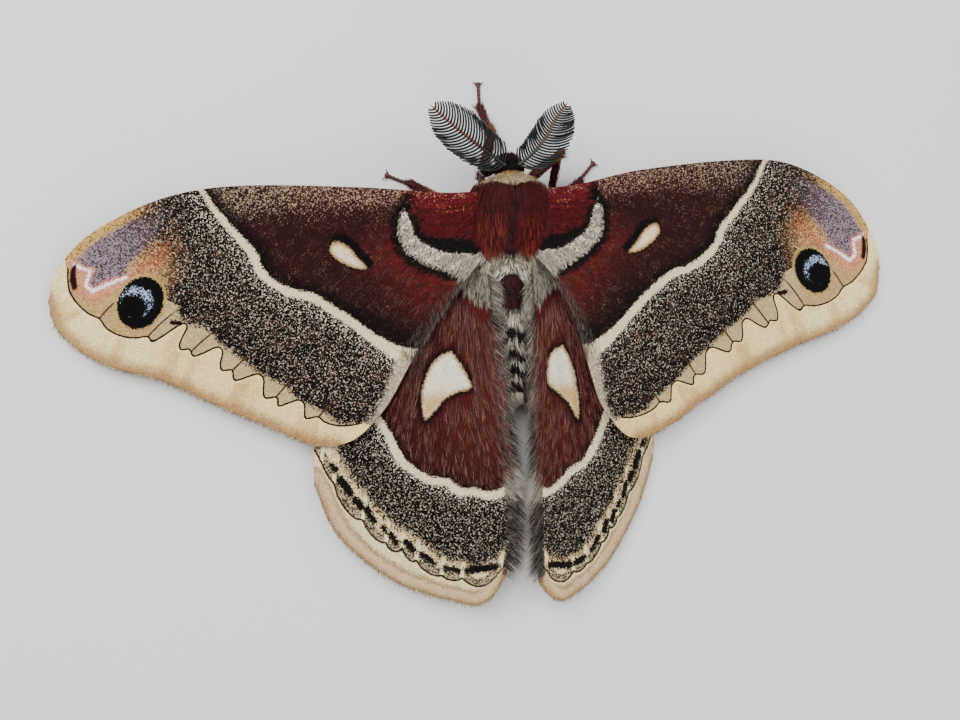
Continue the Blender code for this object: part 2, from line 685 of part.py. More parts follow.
def build():
    for obj in list(bpy.data.objects):
        bpy.data.objects.remove(obj)
    finish = {name: make_material(name) for name in FINISHES}

    thorax = make_thorax(finish["body_fur"])
    head = make_head(finish["pale_fur"])
    pieces = [thorax, head, make_abdomen(finish["pale_fur"])]
    wings = (("forewing_", FOREWING_ROOT, forewing_height, FOREWING_VEINS),
             ("hindwing_", HINDWING_ROOT, hindwing_height, HINDWING_VEINS))

    for side_name, side in SIDES:
        pieces.append(make_eye("eye_" + side_name, side, finish=finish["eye_lens"]))
        socket = as_cutter(make_eye("eye_socket_" + side_name, side, grow=GAP))
        cut(head, socket)
        pieces.append(make_antenna("antenna_" + side_name, side, finish["feeler_horn"]))
        for kind, root, height, veins in wings:
            name = kind + side_name
            pieces.append(make_wing(name, root, height, veins, finish["wing_scales"]))
            trim = as_cutter(make_wing(name, root, height, veins, grow=GAP))
            trim.name = name + "_clearance"
            cut(thorax, trim)

    hips = as_cutter(loft("hip_clearance", [body_ring(*ring, grow=GAP) for ring in THORAX_RINGS]))
    for name in LEG_ROUTES:
        leg = make_leg(name, finish["leg_scales"])
        cut(leg, hips)
        pieces.append(leg)
    apply_modifiers(thorax)
    keep_largest(thorax)
    stand_on_origin(pieces)


build()
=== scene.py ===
import math

import bpy
import numpy as np
from mathutils import Matrix, Vector


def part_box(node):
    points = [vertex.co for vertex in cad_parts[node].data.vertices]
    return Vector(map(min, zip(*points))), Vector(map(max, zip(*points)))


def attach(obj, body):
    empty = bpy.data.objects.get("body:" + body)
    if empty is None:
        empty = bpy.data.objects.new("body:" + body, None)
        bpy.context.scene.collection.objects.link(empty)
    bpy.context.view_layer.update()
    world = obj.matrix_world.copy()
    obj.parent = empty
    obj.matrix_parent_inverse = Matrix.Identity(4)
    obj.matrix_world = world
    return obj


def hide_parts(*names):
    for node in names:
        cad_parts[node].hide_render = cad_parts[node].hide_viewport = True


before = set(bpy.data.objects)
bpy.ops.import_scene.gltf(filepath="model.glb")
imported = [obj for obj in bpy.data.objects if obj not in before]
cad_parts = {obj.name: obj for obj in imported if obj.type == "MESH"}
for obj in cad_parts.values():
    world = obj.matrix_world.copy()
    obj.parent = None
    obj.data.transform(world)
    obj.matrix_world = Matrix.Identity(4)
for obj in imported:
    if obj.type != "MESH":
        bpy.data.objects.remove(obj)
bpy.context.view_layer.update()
mm = 0.001

# Places below are millimetres with the origin on the floor under the thorax, head at +Y.
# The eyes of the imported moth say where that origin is.
eyeCentre = (1.75, 7.9, 6.9)
eyeRadius = 1.1
sides = {"left": -1, "right": 1}
eyeMiddle = sum((corner for name in ("eye_left", "eye_right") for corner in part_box(name)), Vector()) / 4
shift = np.array([eyeMiddle.x / mm, eyeMiddle.y / mm - eyeCentre[1], 0.0])


# Small helpers

def hexColour(code):
    parts = [int(code[k:k + 2], 16) / 255 for k in (0, 2, 4)]
    return [c / 12.92 if c <= 0.04045 else ((c + 0.055) / 1.055) ** 2.4 for c in parts] + [1.0]


def addNode(tree, kind, links=None, values=None, **settings):
    node = tree.nodes.new("ShaderNode" + kind)
    for key, value in settings.items():
        setattr(node, key, value)
    for socket, value in (values or {}).items():
        node.inputs[socket].default_value = value
    for socket, source in (links or {}).items():
        tree.links.new(source, node.inputs[socket])
    return node


def newMaterial(name, **sockets):
    material = bpy.data.materials.new(name)
    material.use_nodes = True
    tree = material.node_tree
    shader = tree.nodes["Principled BSDF"]
    for socket, value in sockets.items():
        shader.inputs[socket.replace("_", " ")].default_value = value
    return material, tree, shader


def smooth(value, low=0.0, high=1.0):
    t = np.clip((value - low) / (high - low), 0, 1)
    return t * t * (3 - 2 * t)


def smoothLine(points, perSpan=8):
    points = np.array(points, float)
    points = np.vstack([2 * points[0] - points[1], points, 2 * points[-1] - points[-2]])
    t = (np.arange(perSpan) / perSpan)[:, None]
    rows = []
    for a, b, c, d in zip(points, points[1:], points[2:], points[3:]):
        rows.append(0.5 * (2 * b + (c - a) * t + (2 * a - 5 * b + 4 * c - d) * t ** 2
                           + (3 * b - a - 3 * c + d) * t ** 3))
    return np.vstack(rows + [points[-2:-1]])


def alongLine(line, shares):
    lengths = np.r_[0, np.cumsum(np.linalg.norm(np.diff(line, axis=0), axis=1))]
    lengths /= lengths[-1]
    return np.stack([np.interp(shares, lengths, line[:, k]) for k in range(line.shape[1])], -1)


def lineLength(line):
    return np.linalg.norm(np.diff(line, axis=0), axis=1).sum()


def unit(vectors):
    return vectors / np.maximum(np.linalg.norm(vectors, axis=-1, keepdims=True), 1e-9)


def distanceTo(places, line):
    best = np.full(len(places), 1e9)
    for a, b in zip(line, line[1:]):
        step = b - a
        t = np.clip((places - a) @ step / max(step @ step, 1e-12), 0, 1)
        best = np.minimum(best, np.linalg.norm(places - a - t[:, None] * step, axis=1))
    return best


def edgeOf(places, line):
    # distance to a closed outline, negative inside it
    inside = np.zeros(len(places), bool)
    for a, b in zip(line, np.roll(line, -1, axis=0)):
        crosses = (a[1] > places[:, 1]) != (b[1] > places[:, 1])
        reach = (b[0] - a[0]) * (places[:, 1] - a[1]) / (b[1] - a[1] + 1e-12) + a[0]
        inside ^= crosses & (places[:, 0] < reach)
    distance = distanceTo(places, np.vstack([line, line[:1]]))
    return np.where(inside, -distance, distance)


def readPoints(mesh):
    points = np.zeros(len(mesh.vertices) * 3)
    mesh.vertices.foreach_get("co", points)
    return points.reshape(-1, 3)


def placePoints(mesh, points):
    mesh.vertices.foreach_set("co", ((np.asarray(points) + shift) * mm).astype(np.float32).ravel())
    mesh.update()


def setField(mesh, name, values):
    layer = mesh.attributes.new(name, "FLOAT", "POINT")
    layer.data.foreach_set("value", np.asarray(values, np.float32).ravel())


def setTint(mesh, colours):
    layer = mesh.attributes.new("coatTint", "FLOAT_COLOR", "POINT")
    layer.data.foreach_set("color", np.c_[colours, np.ones(len(colours))].astype(np.float32).ravel())


def setBakeMap(mesh, places):
    # one place on the OFBake map for each point of the mesh
    layer = mesh.uv_layers.active or mesh.uv_layers.new()
    layer.name = "OFBake"
    corners = np.zeros(len(mesh.loops), np.int32)
    mesh.loops.foreach_get("vertex_index", corners)
    layer.data.foreach_set("uv", places[corners].astype(np.float32).ravel())


def clearSelection():
    if bpy.context.object and bpy.context.object.mode != "OBJECT":
        bpy.ops.object.mode_set(mode="OBJECT")
    bpy.ops.object.select_all(action="DESELECT")


def selectOnly(*pieces):
    clearSelection()
    for piece in pieces:
        piece.select_set(True)
    bpy.context.view_layer.objects.active = pieces[0]


def useModifier(piece, kind, **settings):
    modifier = piece.modifiers.new(kind.title(), kind)
    for key, value in settings.items():
        setattr(modifier, key, value)
    selectOnly(piece)
    bpy.ops.object.modifier_apply(modifier=modifier.name)


def turnFacesOut(piece):
    selectOnly(piece)
    bpy.ops.object.mode_set(mode="EDIT")
    bpy.ops.mesh.select_all(action="SELECT")
    bpy.ops.mesh.normals_make_consistent(inside=False)
    bpy.ops.object.mode_set(mode="OBJECT")


def finishPiece(piece, name, materials, nodes=()):
    piece.name = piece.data.name = name
    for material in materials:
        piece.data.materials.append(material)
    piece.data.shade_smooth()
    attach(piece, "root")
    if nodes:
        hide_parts(*nodes)


def meshOf(name, points, corners):
    # one mesh of triangles from arrays, for what is repeated by the thousand
    mesh = bpy.data.meshes.new(name)
    mesh.vertices.add(len(points))
    placePoints(mesh, points)
    mesh.loops.add(corners.size)
    mesh.loops.foreach_set("vertex_index", corners.astype(np.int32).ravel())
    mesh.polygons.add(len(corners))
    mesh.polygons.foreach_set("loop_start", np.arange(0, corners.size, 3, dtype=np.int32))
    mesh.update(calc_edges=True)
    mesh.validate()
    piece = bpy.data.objects.new(name, mesh)
    bpy.context.scene.collection.objects.link(piece)
    return piece


print("helpers ready")


# Camera, floor and light

cameraPlan = dict(place=(-21.797, -16.803, 111.483), right=(0.98411, -0.06968, 0.16333),
                  ahead=(0.16292, -0.01154, -0.98657), sensor=36.0, lens=29.1)  # mm
studioPlan = dict(floorSize=900.0, floorColour="e9e7e3", grain=2.0, skyColour="eef1f5", sky=0.42,
                  aim=(0, -10, 0))
lightPlan = {  # place in mm, size in m, power in W
    "keyLight": ((-160, 190, 330), 0.30, 2.3),
    "fillLight": ((260, 60, 260), 0.34, 0.7),
    "rimLight": ((30, -330, 170), 0.26, 0.7),
}

right = Vector(cameraPlan["right"]).normalized()
back = -Vector(cameraPlan["ahead"]).normalized()
up = back.cross(right).normalized()
cameraData = bpy.data.cameras.new("photoCamera")
cameraData.lens = cameraPlan["lens"]
cameraData.sensor_width = cameraPlan["sensor"]
cameraData.clip_start = 2 * mm
cameraData.clip_end = 5.0
camera = bpy.data.objects.new("photoCamera", cameraData)
bpy.context.scene.collection.objects.link(camera)
cameraPlace = Vector((np.array(cameraPlan["place"]) + shift) * mm)
camera.matrix_world = Matrix.Translation(cameraPlace) @ Matrix((right, up, back)).transposed().to_4x4()
bpy.context.scene.camera = camera

clearSelection()
bpy.ops.mesh.primitive_plane_add(size=studioPlan["floorSize"] * mm)
floor = bpy.context.object
floor.name = "floor"
floorPaint, tree, shader = newMaterial("mattPaintedBoard", Roughness=0.9)
shader.inputs["Base Color"].default_value = hexColour(studioPlan["floorColour"])
grain = addNode(tree, "TexNoise", {"Vector": addNode(tree, "TexCoord").outputs["Object"]},
                {"Scale": 1 / (studioPlan["grain"] * mm), "Detail": 3.0})
tooth = addNode(tree, "Bump", {"Height": grain.outputs["Fac"]}, {"Strength": 0.05, "Distance": 0.1 * mm})
tree.links.new(tooth.outputs["Normal"], shader.inputs["Normal"])
floor.data.materials.append(floorPaint)

for name, (place, size, power) in lightPlan.items():
    lamp = bpy.data.lights.new(name, "AREA")
    lamp.energy = power
    lamp.size = size
    light = bpy.data.objects.new(name, lamp)
    light.location = Vector(place) * mm
    towards = Vector(studioPlan["aim"]) * mm - light.location
    light.rotation_euler = towards.to_track_quat("-Z", "Y").to_euler()
    bpy.context.scene.collection.objects.link(light)

world = bpy.data.worlds.new("softRoom")
bpy.context.scene.world = world
world.use_nodes = True
sky = world.node_tree.nodes["Background"]
sky.inputs["Color"].default_value = hexColour(studioPlan["skyColour"])
sky.inputs["Strength"].default_value = studioPlan["sky"]
print("camera and studio ready")


# Wings

wingPlan = dict(thickness=0.22, lift=0.10, veinRaise=0.13, veinWidth=0.30, cell=4.0, ripple=0.10,
                curl=0.55, curlWidth=3.0)
forewingRise = dict(base=2.2, rise=8.0, start=4, fade=16, dip=0.35, dipStart=5)
hindwingRise = dict(start=2.4, drop=0.4, dropStart=18, dropLength=32,
                    left=(1.5, 7.5, 15), right=(1.2, 7.9, 10))
# waves of the painted fold shade on the cream margin; the folds themselves are not modelled
foldShadeWaves = (9.0, 5.3, 3.1, 1.9)  # mm from fold to fold along the outer margin
wingShapes = {  # outlines from the thorax outwards: x, y
    "forewing_left": dict(
        root=((-3.3, 4.2), (-3.6, 0.6), (-2.9, -3.6)),
        costa=((-8.6, 4.7), (-19.0, 6.4), (-34.9, 7.6), (-45.3, 6.3), (-54.4, 2.1), (-58.8, -2.4)),
        apex=(-60.3, -6.2),
        outer=((-59.3, -10.5), (-54.4, -14.9), (-47.0, -17.7), (-40.2, -21.5), (-32.0, -25.8),
               (-28.1, -27.8)),
        tornus=(-24.6, -28.4),
        inner=((-8.5, -9.7), (-13.5, -17.0), (-17.1, -22.8), (-19.7, -25.7), (-22.0, -27.5))),
    "forewing_right": dict(
        root=((3.3, 4.2), (3.6, 0.6), (2.9, -3.6)),
        costa=((11.2, 5.4), (21.0, 7.6), (35.9, 9.0), (45.9, 8.3), (54.9, 3.3), (59.3, -3.4)),
        apex=(60.5, -8.0),
        outer=((59.0, -12.7), (53.5, -16.7), (44.8, -19.4), (36.1, -22.7), (28.3, -26.8), (22.2, -30.0)),
        tornus=(18.4, -31.0),
        inner=((8.0, -10.7), (10.5, -19.2), (12.0, -24.8), (13.8, -27.8), (16.0, -30.2))),
    "hindwing_left": dict(
        root=((-4.0, -1.6), (-3.4, -4.4)),
        costa=((-12.0, -5.0), (-20.0, -11.5), (-25.5, -20.0), (-27.6, -28.0)),
        apex=(-28.1, -33.4),
        outer=((-25.1, -41.2), (-18.0, -48.0), (-9.0, -51.8), (-5.6, -51.7)),
        tornus=(-2.9, -48.6),
        inner=((-2.8, -8.0), (-2.6, -18.0), (-1.8, -28.0), (-1.2, -37.0), (-1.6, -43.5))),
    "hindwing_right": dict(
        root=((4.0, -1.6), (3.4, -4.4)),
        costa=((10.5, -5.5), (16.0, -12.0), (20.0, -20.5), (21.5, -28.0)),
        apex=(21.4, -34.2),
        outer=((18.3, -41.5), (12.9, -49.0), (7.2, -52.7), (4.2, -52.6)),
        tornus=(1.8, -49.6),
        inner=((3.1, -8.0), (2.8, -18.0), (2.2, -28.0), (2.0, -37.0), (1.8, -44.0))),
}
veinShares = {  # where each vein leaves the root and where it meets the outer margin
    "forewing": ((0.14, 0.08), (0.24, 0.19), (0.34, 0.33), (0.48, 0.455), (0.58, 0.58), (0.68, 0.73),
                 (0.84, 0.86)),
    "hindwing": ((0.14, 0.10), (0.26, 0.24), (0.38, 0.39), (0.50, 0.54), (0.62, 0.69), (0.74, 0.83),
                 (0.87, 0.94)),
}
veinFork = 0.3  # share of the wing where the veins start to spread


def forewingHeight(x, y):
    plan = forewingRise
    dip = plan["dip"] * np.maximum(plan["dipStart"] - np.abs(x), 0) ** 2
    return plan["base"] + plan["rise"] * np.exp(-(np.abs(x) - plan["start"]) / plan["fade"]) - dip


def hindwingHeight(x, y):
    plan = hindwingRise
    fall = 1 - plan["drop"] * smooth((-y - plan["dropStart"]) / plan["dropLength"])
    out = np.abs(x) - plan["start"]
    heights = [base + rise * np.exp(-out / fade) * fall for base, rise, fade in (plan["left"], plan["right"])]
    return np.where(x < 0, *heights)


class Wing:
    def __init__(self, name):
        shape = wingShapes[name]
        self.name = name
        self.kind = name.split("_")[0]
        self.side = sides[name.split("_")[1]]
        self.root = smoothLine(shape["root"])
        self.costa = smoothLine([self.root[0], *shape["costa"], shape["apex"]])
        self.inner = smoothLine([self.root[-1], *shape["inner"], shape["tornus"]])
        self.outer = smoothLine([shape["apex"], *shape["outer"], shape["tornus"]])
        self.height = forewingHeight if self.kind == "forewing" else hindwingHeight

    def flat(self, u, v):
        # x, y of a point of the wing: u from root to outer margin, v from front to inner margin
        shareU = u[..., None]
        shareV = v[..., None]
        across = alongLine(self.costa, u) * (1 - shareV) + alongLine(self.inner, u) * shareV
        along = alongLine(self.root, v) * (1 - shareU) + alongLine(self.outer, v) * shareU
        corners = ((self.costa[0] * (1 - shareV) + self.inner[0] * shareV) * (1 - shareU)
                   + (self.costa[-1] * (1 - shareV) + self.inner[-1] * shareV) * shareU)
        return across + along - corners

    def line(self, points):
        # x, y of a line that is given as u, v pairs
        return self.flat(*np.array(points, float).T)

    def surface(self, u, v):
        place = self.flat(u, v)
        x, y = place[..., 0], place[..., 1]
        rim = distanceTo(place.reshape(-1, 2), self.outer).reshape(u.shape)
        curl = wingPlan["curl"] * np.clip(1 - rim / wingPlan["curlWidth"], 0, 1) ** 2
        return np.stack([x, y, self.height(x, y) + wingPlan["lift"] - curl], -1)


def veinPath(kind, k, u):
    start, end = veinShares[kind][k]
    return start + (end - start) * smooth(u, veinFork, 1.0)


def veinSide(wing, u, v):
    # mm to the nearest vein, with a sign for the side, so that a thin line stays sharp between grid points
    chord = np.interp(u, (0, 1), (lineLength(wing.root), lineLength(wing.outer)))
    gaps = np.stack([(v - veinPath(wing.kind, k, u)) * chord for k in range(len(veinShares[wing.kind]))])
    return np.take_along_axis(gaps, np.abs(gaps).argmin(0)[None], 0)[0]


def beyond(wing, u, v, place, points, perSpan=6):
    # mm to a line that runs from front to rear, positive on its outer side
    line = smoothLine(points, perSpan)
    order = np.argsort(line[:, 1])
    lineU = np.interp(v, line[order, 1], line[order, 0])
    return distanceTo(place, wing.line(line)) * np.sign(u - lineU)


def foldShadeStreaks(place, line, draw):
    # painted shade of soft folds that run across a margin, which the mesh does not have: slow waves along it,
    # 0 to 1
    perMm = 4
    dense = alongLine(line, np.linspace(0, 1, int(lineLength(line) * perMm)))
    arc = np.argmin(((place[:, None] - dense[None]) ** 2).sum(-1), axis=1) / perMm
    waves = sum(np.sin(arc * 2 * math.pi / step + draw.uniform(0, 6.3)) / k
                for k, step in enumerate(foldShadeWaves, 1))
    return smooth(waves, -1.2, 1.6)


# Forewing markings as u, v points
forewingMarks = dict(
    pmLine=((0.590, -0.01), (0.575, 0.06), (0.565, 0.14), (0.565, 0.22), (0.572, 0.29), (0.603, 0.37),
            (0.610, 0.44), (0.598, 0.50), (0.566, 0.56), (0.554, 0.64), (0.546, 0.72), (0.543, 0.81),
            (0.532, 0.89), (0.522, 0.95), (0.520, 1.01)),
    band=((0.165, 0.10), (0.175, 0.20), (0.188, 0.33), (0.208, 0.47), (0.194, 0.61), (0.152, 0.76),
          (0.095, 0.88)),
    spot=((0.382, 0.332), (0.366, 0.352), (0.362, 0.409), (0.366, 0.456), (0.366, 0.506), (0.370, 0.550),
          (0.396, 0.529), (0.414, 0.486), (0.421, 0.429), (0.411, 0.375)),
    # where the scalloped line meets the veins; per cell, how far it juts out beside them and dips between
    junctions=((0.030, 0.905), (0.193, 0.915), (0.330, 0.900), (0.448, 0.890), (0.579, 0.882),
               (0.730, 0.888), (0.857, 0.880), (0.972, 0.835)),
    juts=(0.0, 0.0, 0.010, 0.014, 0.022, 0.026, 0.0),
    dips=(-0.012, -0.016, 0.060, 0.038, 0.030, 0.022, -0.020),
    tileLine=((0.800, 0.32), (0.832, 0.37), (0.822, 0.44), (0.838, 0.50), (0.842, 0.57), (0.850, 0.64),
              (0.846, 0.72), (0.862, 0.78), (0.855, 0.86), (0.866, 0.91), (0.845, 0.96), (0.820, 1.0)),
    zigzag=((0.888, 0.036), (0.872, 0.066), (0.858, 0.088), (0.884, 0.104), (0.882, 0.130), (0.848, 0.144),
            (0.812, 0.160)),
    apexMark=((0.882, 0.040), (0.890, 0.062), (0.900, 0.092), (0.912, 0.090), (0.909, 0.062),
              (0.899, 0.040)),
    # lower edge of the lilac field and the middle of the ember streak under it, as v at each u
    lilacEdge=((0.60, 0.045), (0.656, 0.081), (0.687, 0.10), (0.73, 0.12), (0.776, 0.135), (0.815, 0.154),
               (0.90, 0.20)),
    emberDrop=0.036,
    # as v and a value at each: half widths in mm, and how far the dark before the white line reaches
    bandWidth=((0.13, 0.22, 0.35, 0.55, 0.8, 0.95), (-0.5, 0.45, 0.85, 1.10, 1.10, 1.30)),
    pmWidth=((0, 0.2, 0.8, 0.95, 1), (0.3, 0.5, 0.6, 1.0, 1.6)),
    pmShadeScale=((0, 0.3, 0.55, 0.75, 1), (1.0, 0.8, 0.9, 0.55, 0.42)),
    costalWidth=((0.10, 0.24, 0.50), (2.6, 6.2, 8.0)),  # as u and mm from the front edge
    shadeShift=(0.45, 0.55),  # the dark beside the crescent: mm towards the body and forwards
    smudge=((0.845, 0.352), (0.838, 0.372), (0.852, 0.392)),
    eye=dict(centre=(0.836, 0.243), long=3.60, short=2.80, tilt=-27.0),
    crescent=dict(centre=(-0.45, 0.25), radius=2.00, hole=(-0.98, -0.48), holeRadius=1.74),
)


def scallops(marks):
    # the scalloped line: a lobe on each side of every vein and a notch towards the body between them
    points = []
    rows = marks["junctions"]
    for (v0, u0), (v1, u1), dip, jut in zip(rows, rows[1:], marks["dips"], marks["juts"]):
        notch = ((0.0, 0.0), (0.16, jut), (0.28, 0.35 * jut - 0.3 * dip), (0.40, -dip), (0.56, -0.85 * dip),
                 (0.70, 0.4 * jut - 0.2 * dip), (0.84, jut))
        bulge = ((0.0, 0.0), (0.2, -0.7 * dip), (0.5, -dip), (0.8, -0.7 * dip))
        for share, reach in (notch if dip > 0 else bulge):
            points.append((u0 + (u1 - u0) * share + reach, v0 + (v1 - v0) * share))
    return points + [(rows[-1][1], rows[-1][0])]


def forewingFields(wing, u, v, place):
    # what the layers below read at each point: mm to a line (minus inside or before it), or a share 0 to 1
    marks = forewingMarks
    rightWingShaded = wing.side > 0
    pm = beyond(wing, u, v, place, marks["pmLine"])
    wave = beyond(wing, u, v, place, scallops(marks), 3)
    tile = beyond(wing, u, v, place, marks["tileLine"])
    band = beyond(wing, u, v, place, marks["band"])
    bandEdge = np.abs(band) - np.interp(v, *marks["bandWidth"])
    spotLine = wing.line(smoothLine(marks["spot"] + marks["spot"][:1], 6)[:-1])
    shadeX, shadeY = marks["shadeShift"]
    costa, inner, rim = (distanceTo(place, line) for line in (wing.costa, wing.inner, wing.outer))
    zigzag = distanceTo(place, wing.line(marks["zigzag"]))
    pastZigzag = zigzag * np.sign(u - np.interp(v, *np.array(marks["zigzag"]).T[::-1]))
    # the eyespot and the blue crescent in it, both drawn as on the left wing
    eye, moon = marks["eye"], marks["crescent"]
    offset = place - wing.line([eye["centre"]])
    offset[:, 0] *= -wing.side
    turn = math.radians(eye["tilt"])
    a = offset @ np.array([math.cos(turn), math.sin(turn)])
    b = offset @ np.array([-math.sin(turn), math.cos(turn)])
    eyeEdge = (np.hypot(a / eye["short"], b / eye["long"]) - 1) * eye["short"]
    crescent = np.maximum(np.linalg.norm(offset - moon["centre"], axis=1) - moon["radius"],
                          moon["holeRadius"] - np.linalg.norm(offset - moon["hole"], axis=1))
    # coloured fields at the wing tip
    lilacEdge = np.interp(u, *np.array(marks["lilacEdge"]).T)
    lilac = smooth(u, 0.61, 0.78) * smooth(lilacEdge + 0.018 - v, 0, 0.045) * smooth(0.1 - pastZigzag, 0, 0.3)
    lilac *= smooth(costa, 0.8, 1.8)
    emberOff = v - lilacEdge - marks["emberDrop"]
    ember = smooth(u, 0.63, 0.80) * smooth(0.90 - u, 0, 0.10) * smooth(0.066 - np.abs(emberOff), 0, 0.062)
    tan = smooth(u - 0.15 * smooth(v, 0.18, 0.36), 0.62, 0.82) * smooth(0.48 - v, 0, 0.16)
    peach = smooth(pastZigzag, -0.1, 0.3) * smooth(3.0 - pastZigzag, 0, 2.6) * smooth(0.19 - v, 0, 0.03)
    gold = smooth(1.5 - costa, 0, 1.0) * smooth(u, 0.64, 0.80)
    # fields between the root and the white line
    basal = smooth(-band, -0.2, 0.8) * smooth(0.30 - u, 0, 0.05)
    costal = smooth(1 - costa / np.interp(u, *marks["costalWidth"]), 0, 0.9) * smooth(-pm, 0, 1)
    goldLine = smooth(0.75 - np.abs(costa - 2.3), 0, 0.4) * smooth(0.115 - u, 0, 0.03)
    strip = smooth(2.6 - inner - 1.6 * smooth(u, 0.55, 0.9), 0, 1.6) * smooth(u, 0.49, 0.56)
    # the share of light scales
    sprinkle = 0.01 + 0.015 * smooth(0.42 - u, 0, 0.2)
    # the right wing gets fewer light scales here and on the costa below: painted shade, as if less light
    # reached it
    outer = 0.235 - 0.02 * rightWingShaded + 0.12 * np.exp(-np.abs(pm) / 1.3) - 0.05 * smooth(tile, -6, -1)
    sprinkle = sprinkle + smooth(pm, 0.0, 1.0) * (outer - sprinkle)
    sprinkle = np.maximum(sprinkle, (0.37 - 0.04 * rightWingShaded) * costal)
    front = np.maximum(0.02 + 0.22 * smooth(1.5 - costa, 0, 1.4), 0.27 * goldLine)
    sprinkle = np.where(basal > 0.5, front, sprinkle)
    sprinkle = np.where(bandEdge < 0, 0.50 + 0.06 * smooth(v, 0.2, 0.6), sprinkle)
    for most, field in ((0.40, lilac), (0.50, tan), (0.60, gold), (0.60, peach)):
        sprinkle = np.maximum(sprinkle, most * field)
    return dict(
        pm=pm, wave=wave, tile=tile, rim=rim, zigzag=zigzag, eye=eyeEdge, crescent=crescent, lilac=lilac,
        ember=ember, tan=tan, peach=peach, gold=gold, basal=basal, costal=costal, strip=strip,
        goldLine=goldLine, sprinkle=sprinkle, band=bandEdge,
        spot=edgeOf(place, spotLine),
        shade=edgeOf(place - np.array([-wing.side * shadeX, shadeY]), spotLine),
        veinSide=veinSide(wing, u, v),
        veinShown=(smooth(u, 0.78, 0.84) * smooth(2.4 - wave, 0, 2.2) * smooth(v, 0.13, 0.16)
                   * smooth(0.98 - v, 0, 0.02)),
        apexMark=edgeOf(place, wing.line(marks["apexMark"])),
        smudge=distanceTo(place, wing.line(marks["smudge"])) - 0.25,
        bandShade=np.where(band < 0, 0.60 - 0.22 * smooth(v, 0.35, 0.6), 1.0) * bandEdge,
        pmShade=pm * np.interp(v, *marks["pmShadeScale"]),
        pmLine=np.abs(pm) - np.interp(v, *marks["pmWidth"]),
        redFlush=smooth(0.52 - u, 0, 0.34) * smooth(v, 0.15, 0.55),
        outerHalf=smooth(u, 0.30, 0.55),
        beyondTile=smooth(tile, -0.2, 0.4),
        inMargin=smooth(wave, 0.2, 0.6),
        # painted shade of folds across the cream margin
        fold=foldShadeStreaks(place, wing.outer, np.random.default_rng(41)))


# Hindwing markings as u, v points, but the crescents as x, y
hindwingMarks = dict(
    pmLine=((0.57, -0.01), (0.585, 0.10), (0.60, 0.22), (0.614, 0.33), (0.640, 0.40), (0.675, 0.47),
            (0.685, 0.54), (0.690, 0.61), (0.680, 0.68), (0.692, 0.74), (0.682, 0.81), (0.690, 0.88),
            (0.700, 1.01)),
    pmLineRight=((0.57, -0.01), (0.58, 0.15), (0.60, 0.28), (0.612, 0.40), (0.640, 0.52), (0.660, 0.63),
                 (0.652, 0.72), (0.664, 0.81), (0.690, 0.90), (0.710, 1.01)),
    spot=((-8.4, -16.5), (-9.9, -17.1), (-11.3, -18.6), (-12.4, -20.9), (-12.7, -22.9), (-12.5, -25.7),
          (-10.9, -24.4), (-9.5, -22.9), (-7.8, -22.2), (-6.1, -21.7), (-6.6, -19.8), (-7.5, -17.8)),
    spotRight=((7.4, -16.8), (5.6, -17.6), (4.7, -19.4), (4.5, -21.8), (6.2, -23.3), (7.8, -24.8),
               (9.2, -27.4), (9.6, -25.4), (9.4, -23.0), (9.0, -20.1), (8.3, -18.1)),
    tileLine=((0.76, -0.01), (0.79, 0.12), (0.812, 0.21), (0.822, 0.29), (0.835, 0.34), (0.852, 0.42),
              (0.862, 0.50), (0.868, 0.59), (0.888, 0.66), (0.893, 0.74), (0.889, 0.83), (0.886, 0.91),
              (0.88, 1.01)),
    pmWidth=((0, 0.3, 0.9, 1), (0.75, 0.55, 0.55, 0.7)),  # v and the half width in mm at each
    # dark dashes: u and v of both ends, half width in mm, and how much wider all of them are drawn
    dashGrowth=1.25,
    dashes=((0.842, 0.145, 0.842, 0.165, 0.34), (0.846, 0.205, 0.857, 0.262, 0.46),
            (0.861, 0.286, 0.866, 0.322, 0.44), (0.861, 0.347, 0.876, 0.386, 0.40),
            (0.876, 0.425, 0.884, 0.441, 0.28), (0.884, 0.467, 0.896, 0.494, 0.36),
            (0.880, 0.533, 0.896, 0.564, 0.40), (0.896, 0.600, 0.911, 0.652, 0.36),
            (0.914, 0.697, 0.911, 0.752, 0.36), (0.905, 0.785, 0.905, 0.905, 0.42)),
    # scalloped line outside the dashes: where its arcs meet, and how far each arc bulges
    arcs=((0.0, 0.888), (0.06, 0.887), (0.165, 0.880), (0.335, 0.896), (0.45, 0.912), (0.52, 0.902),
          (0.583, 0.918), (0.69, 0.935), (0.768, 0.930), (0.93, 0.930), (1.0, 0.920)),
    bulges=(0.0, 0.004, 0.020, 0.014, 0.016, 0.014, 0.014, 0.010, 0.014, 0.006),
)


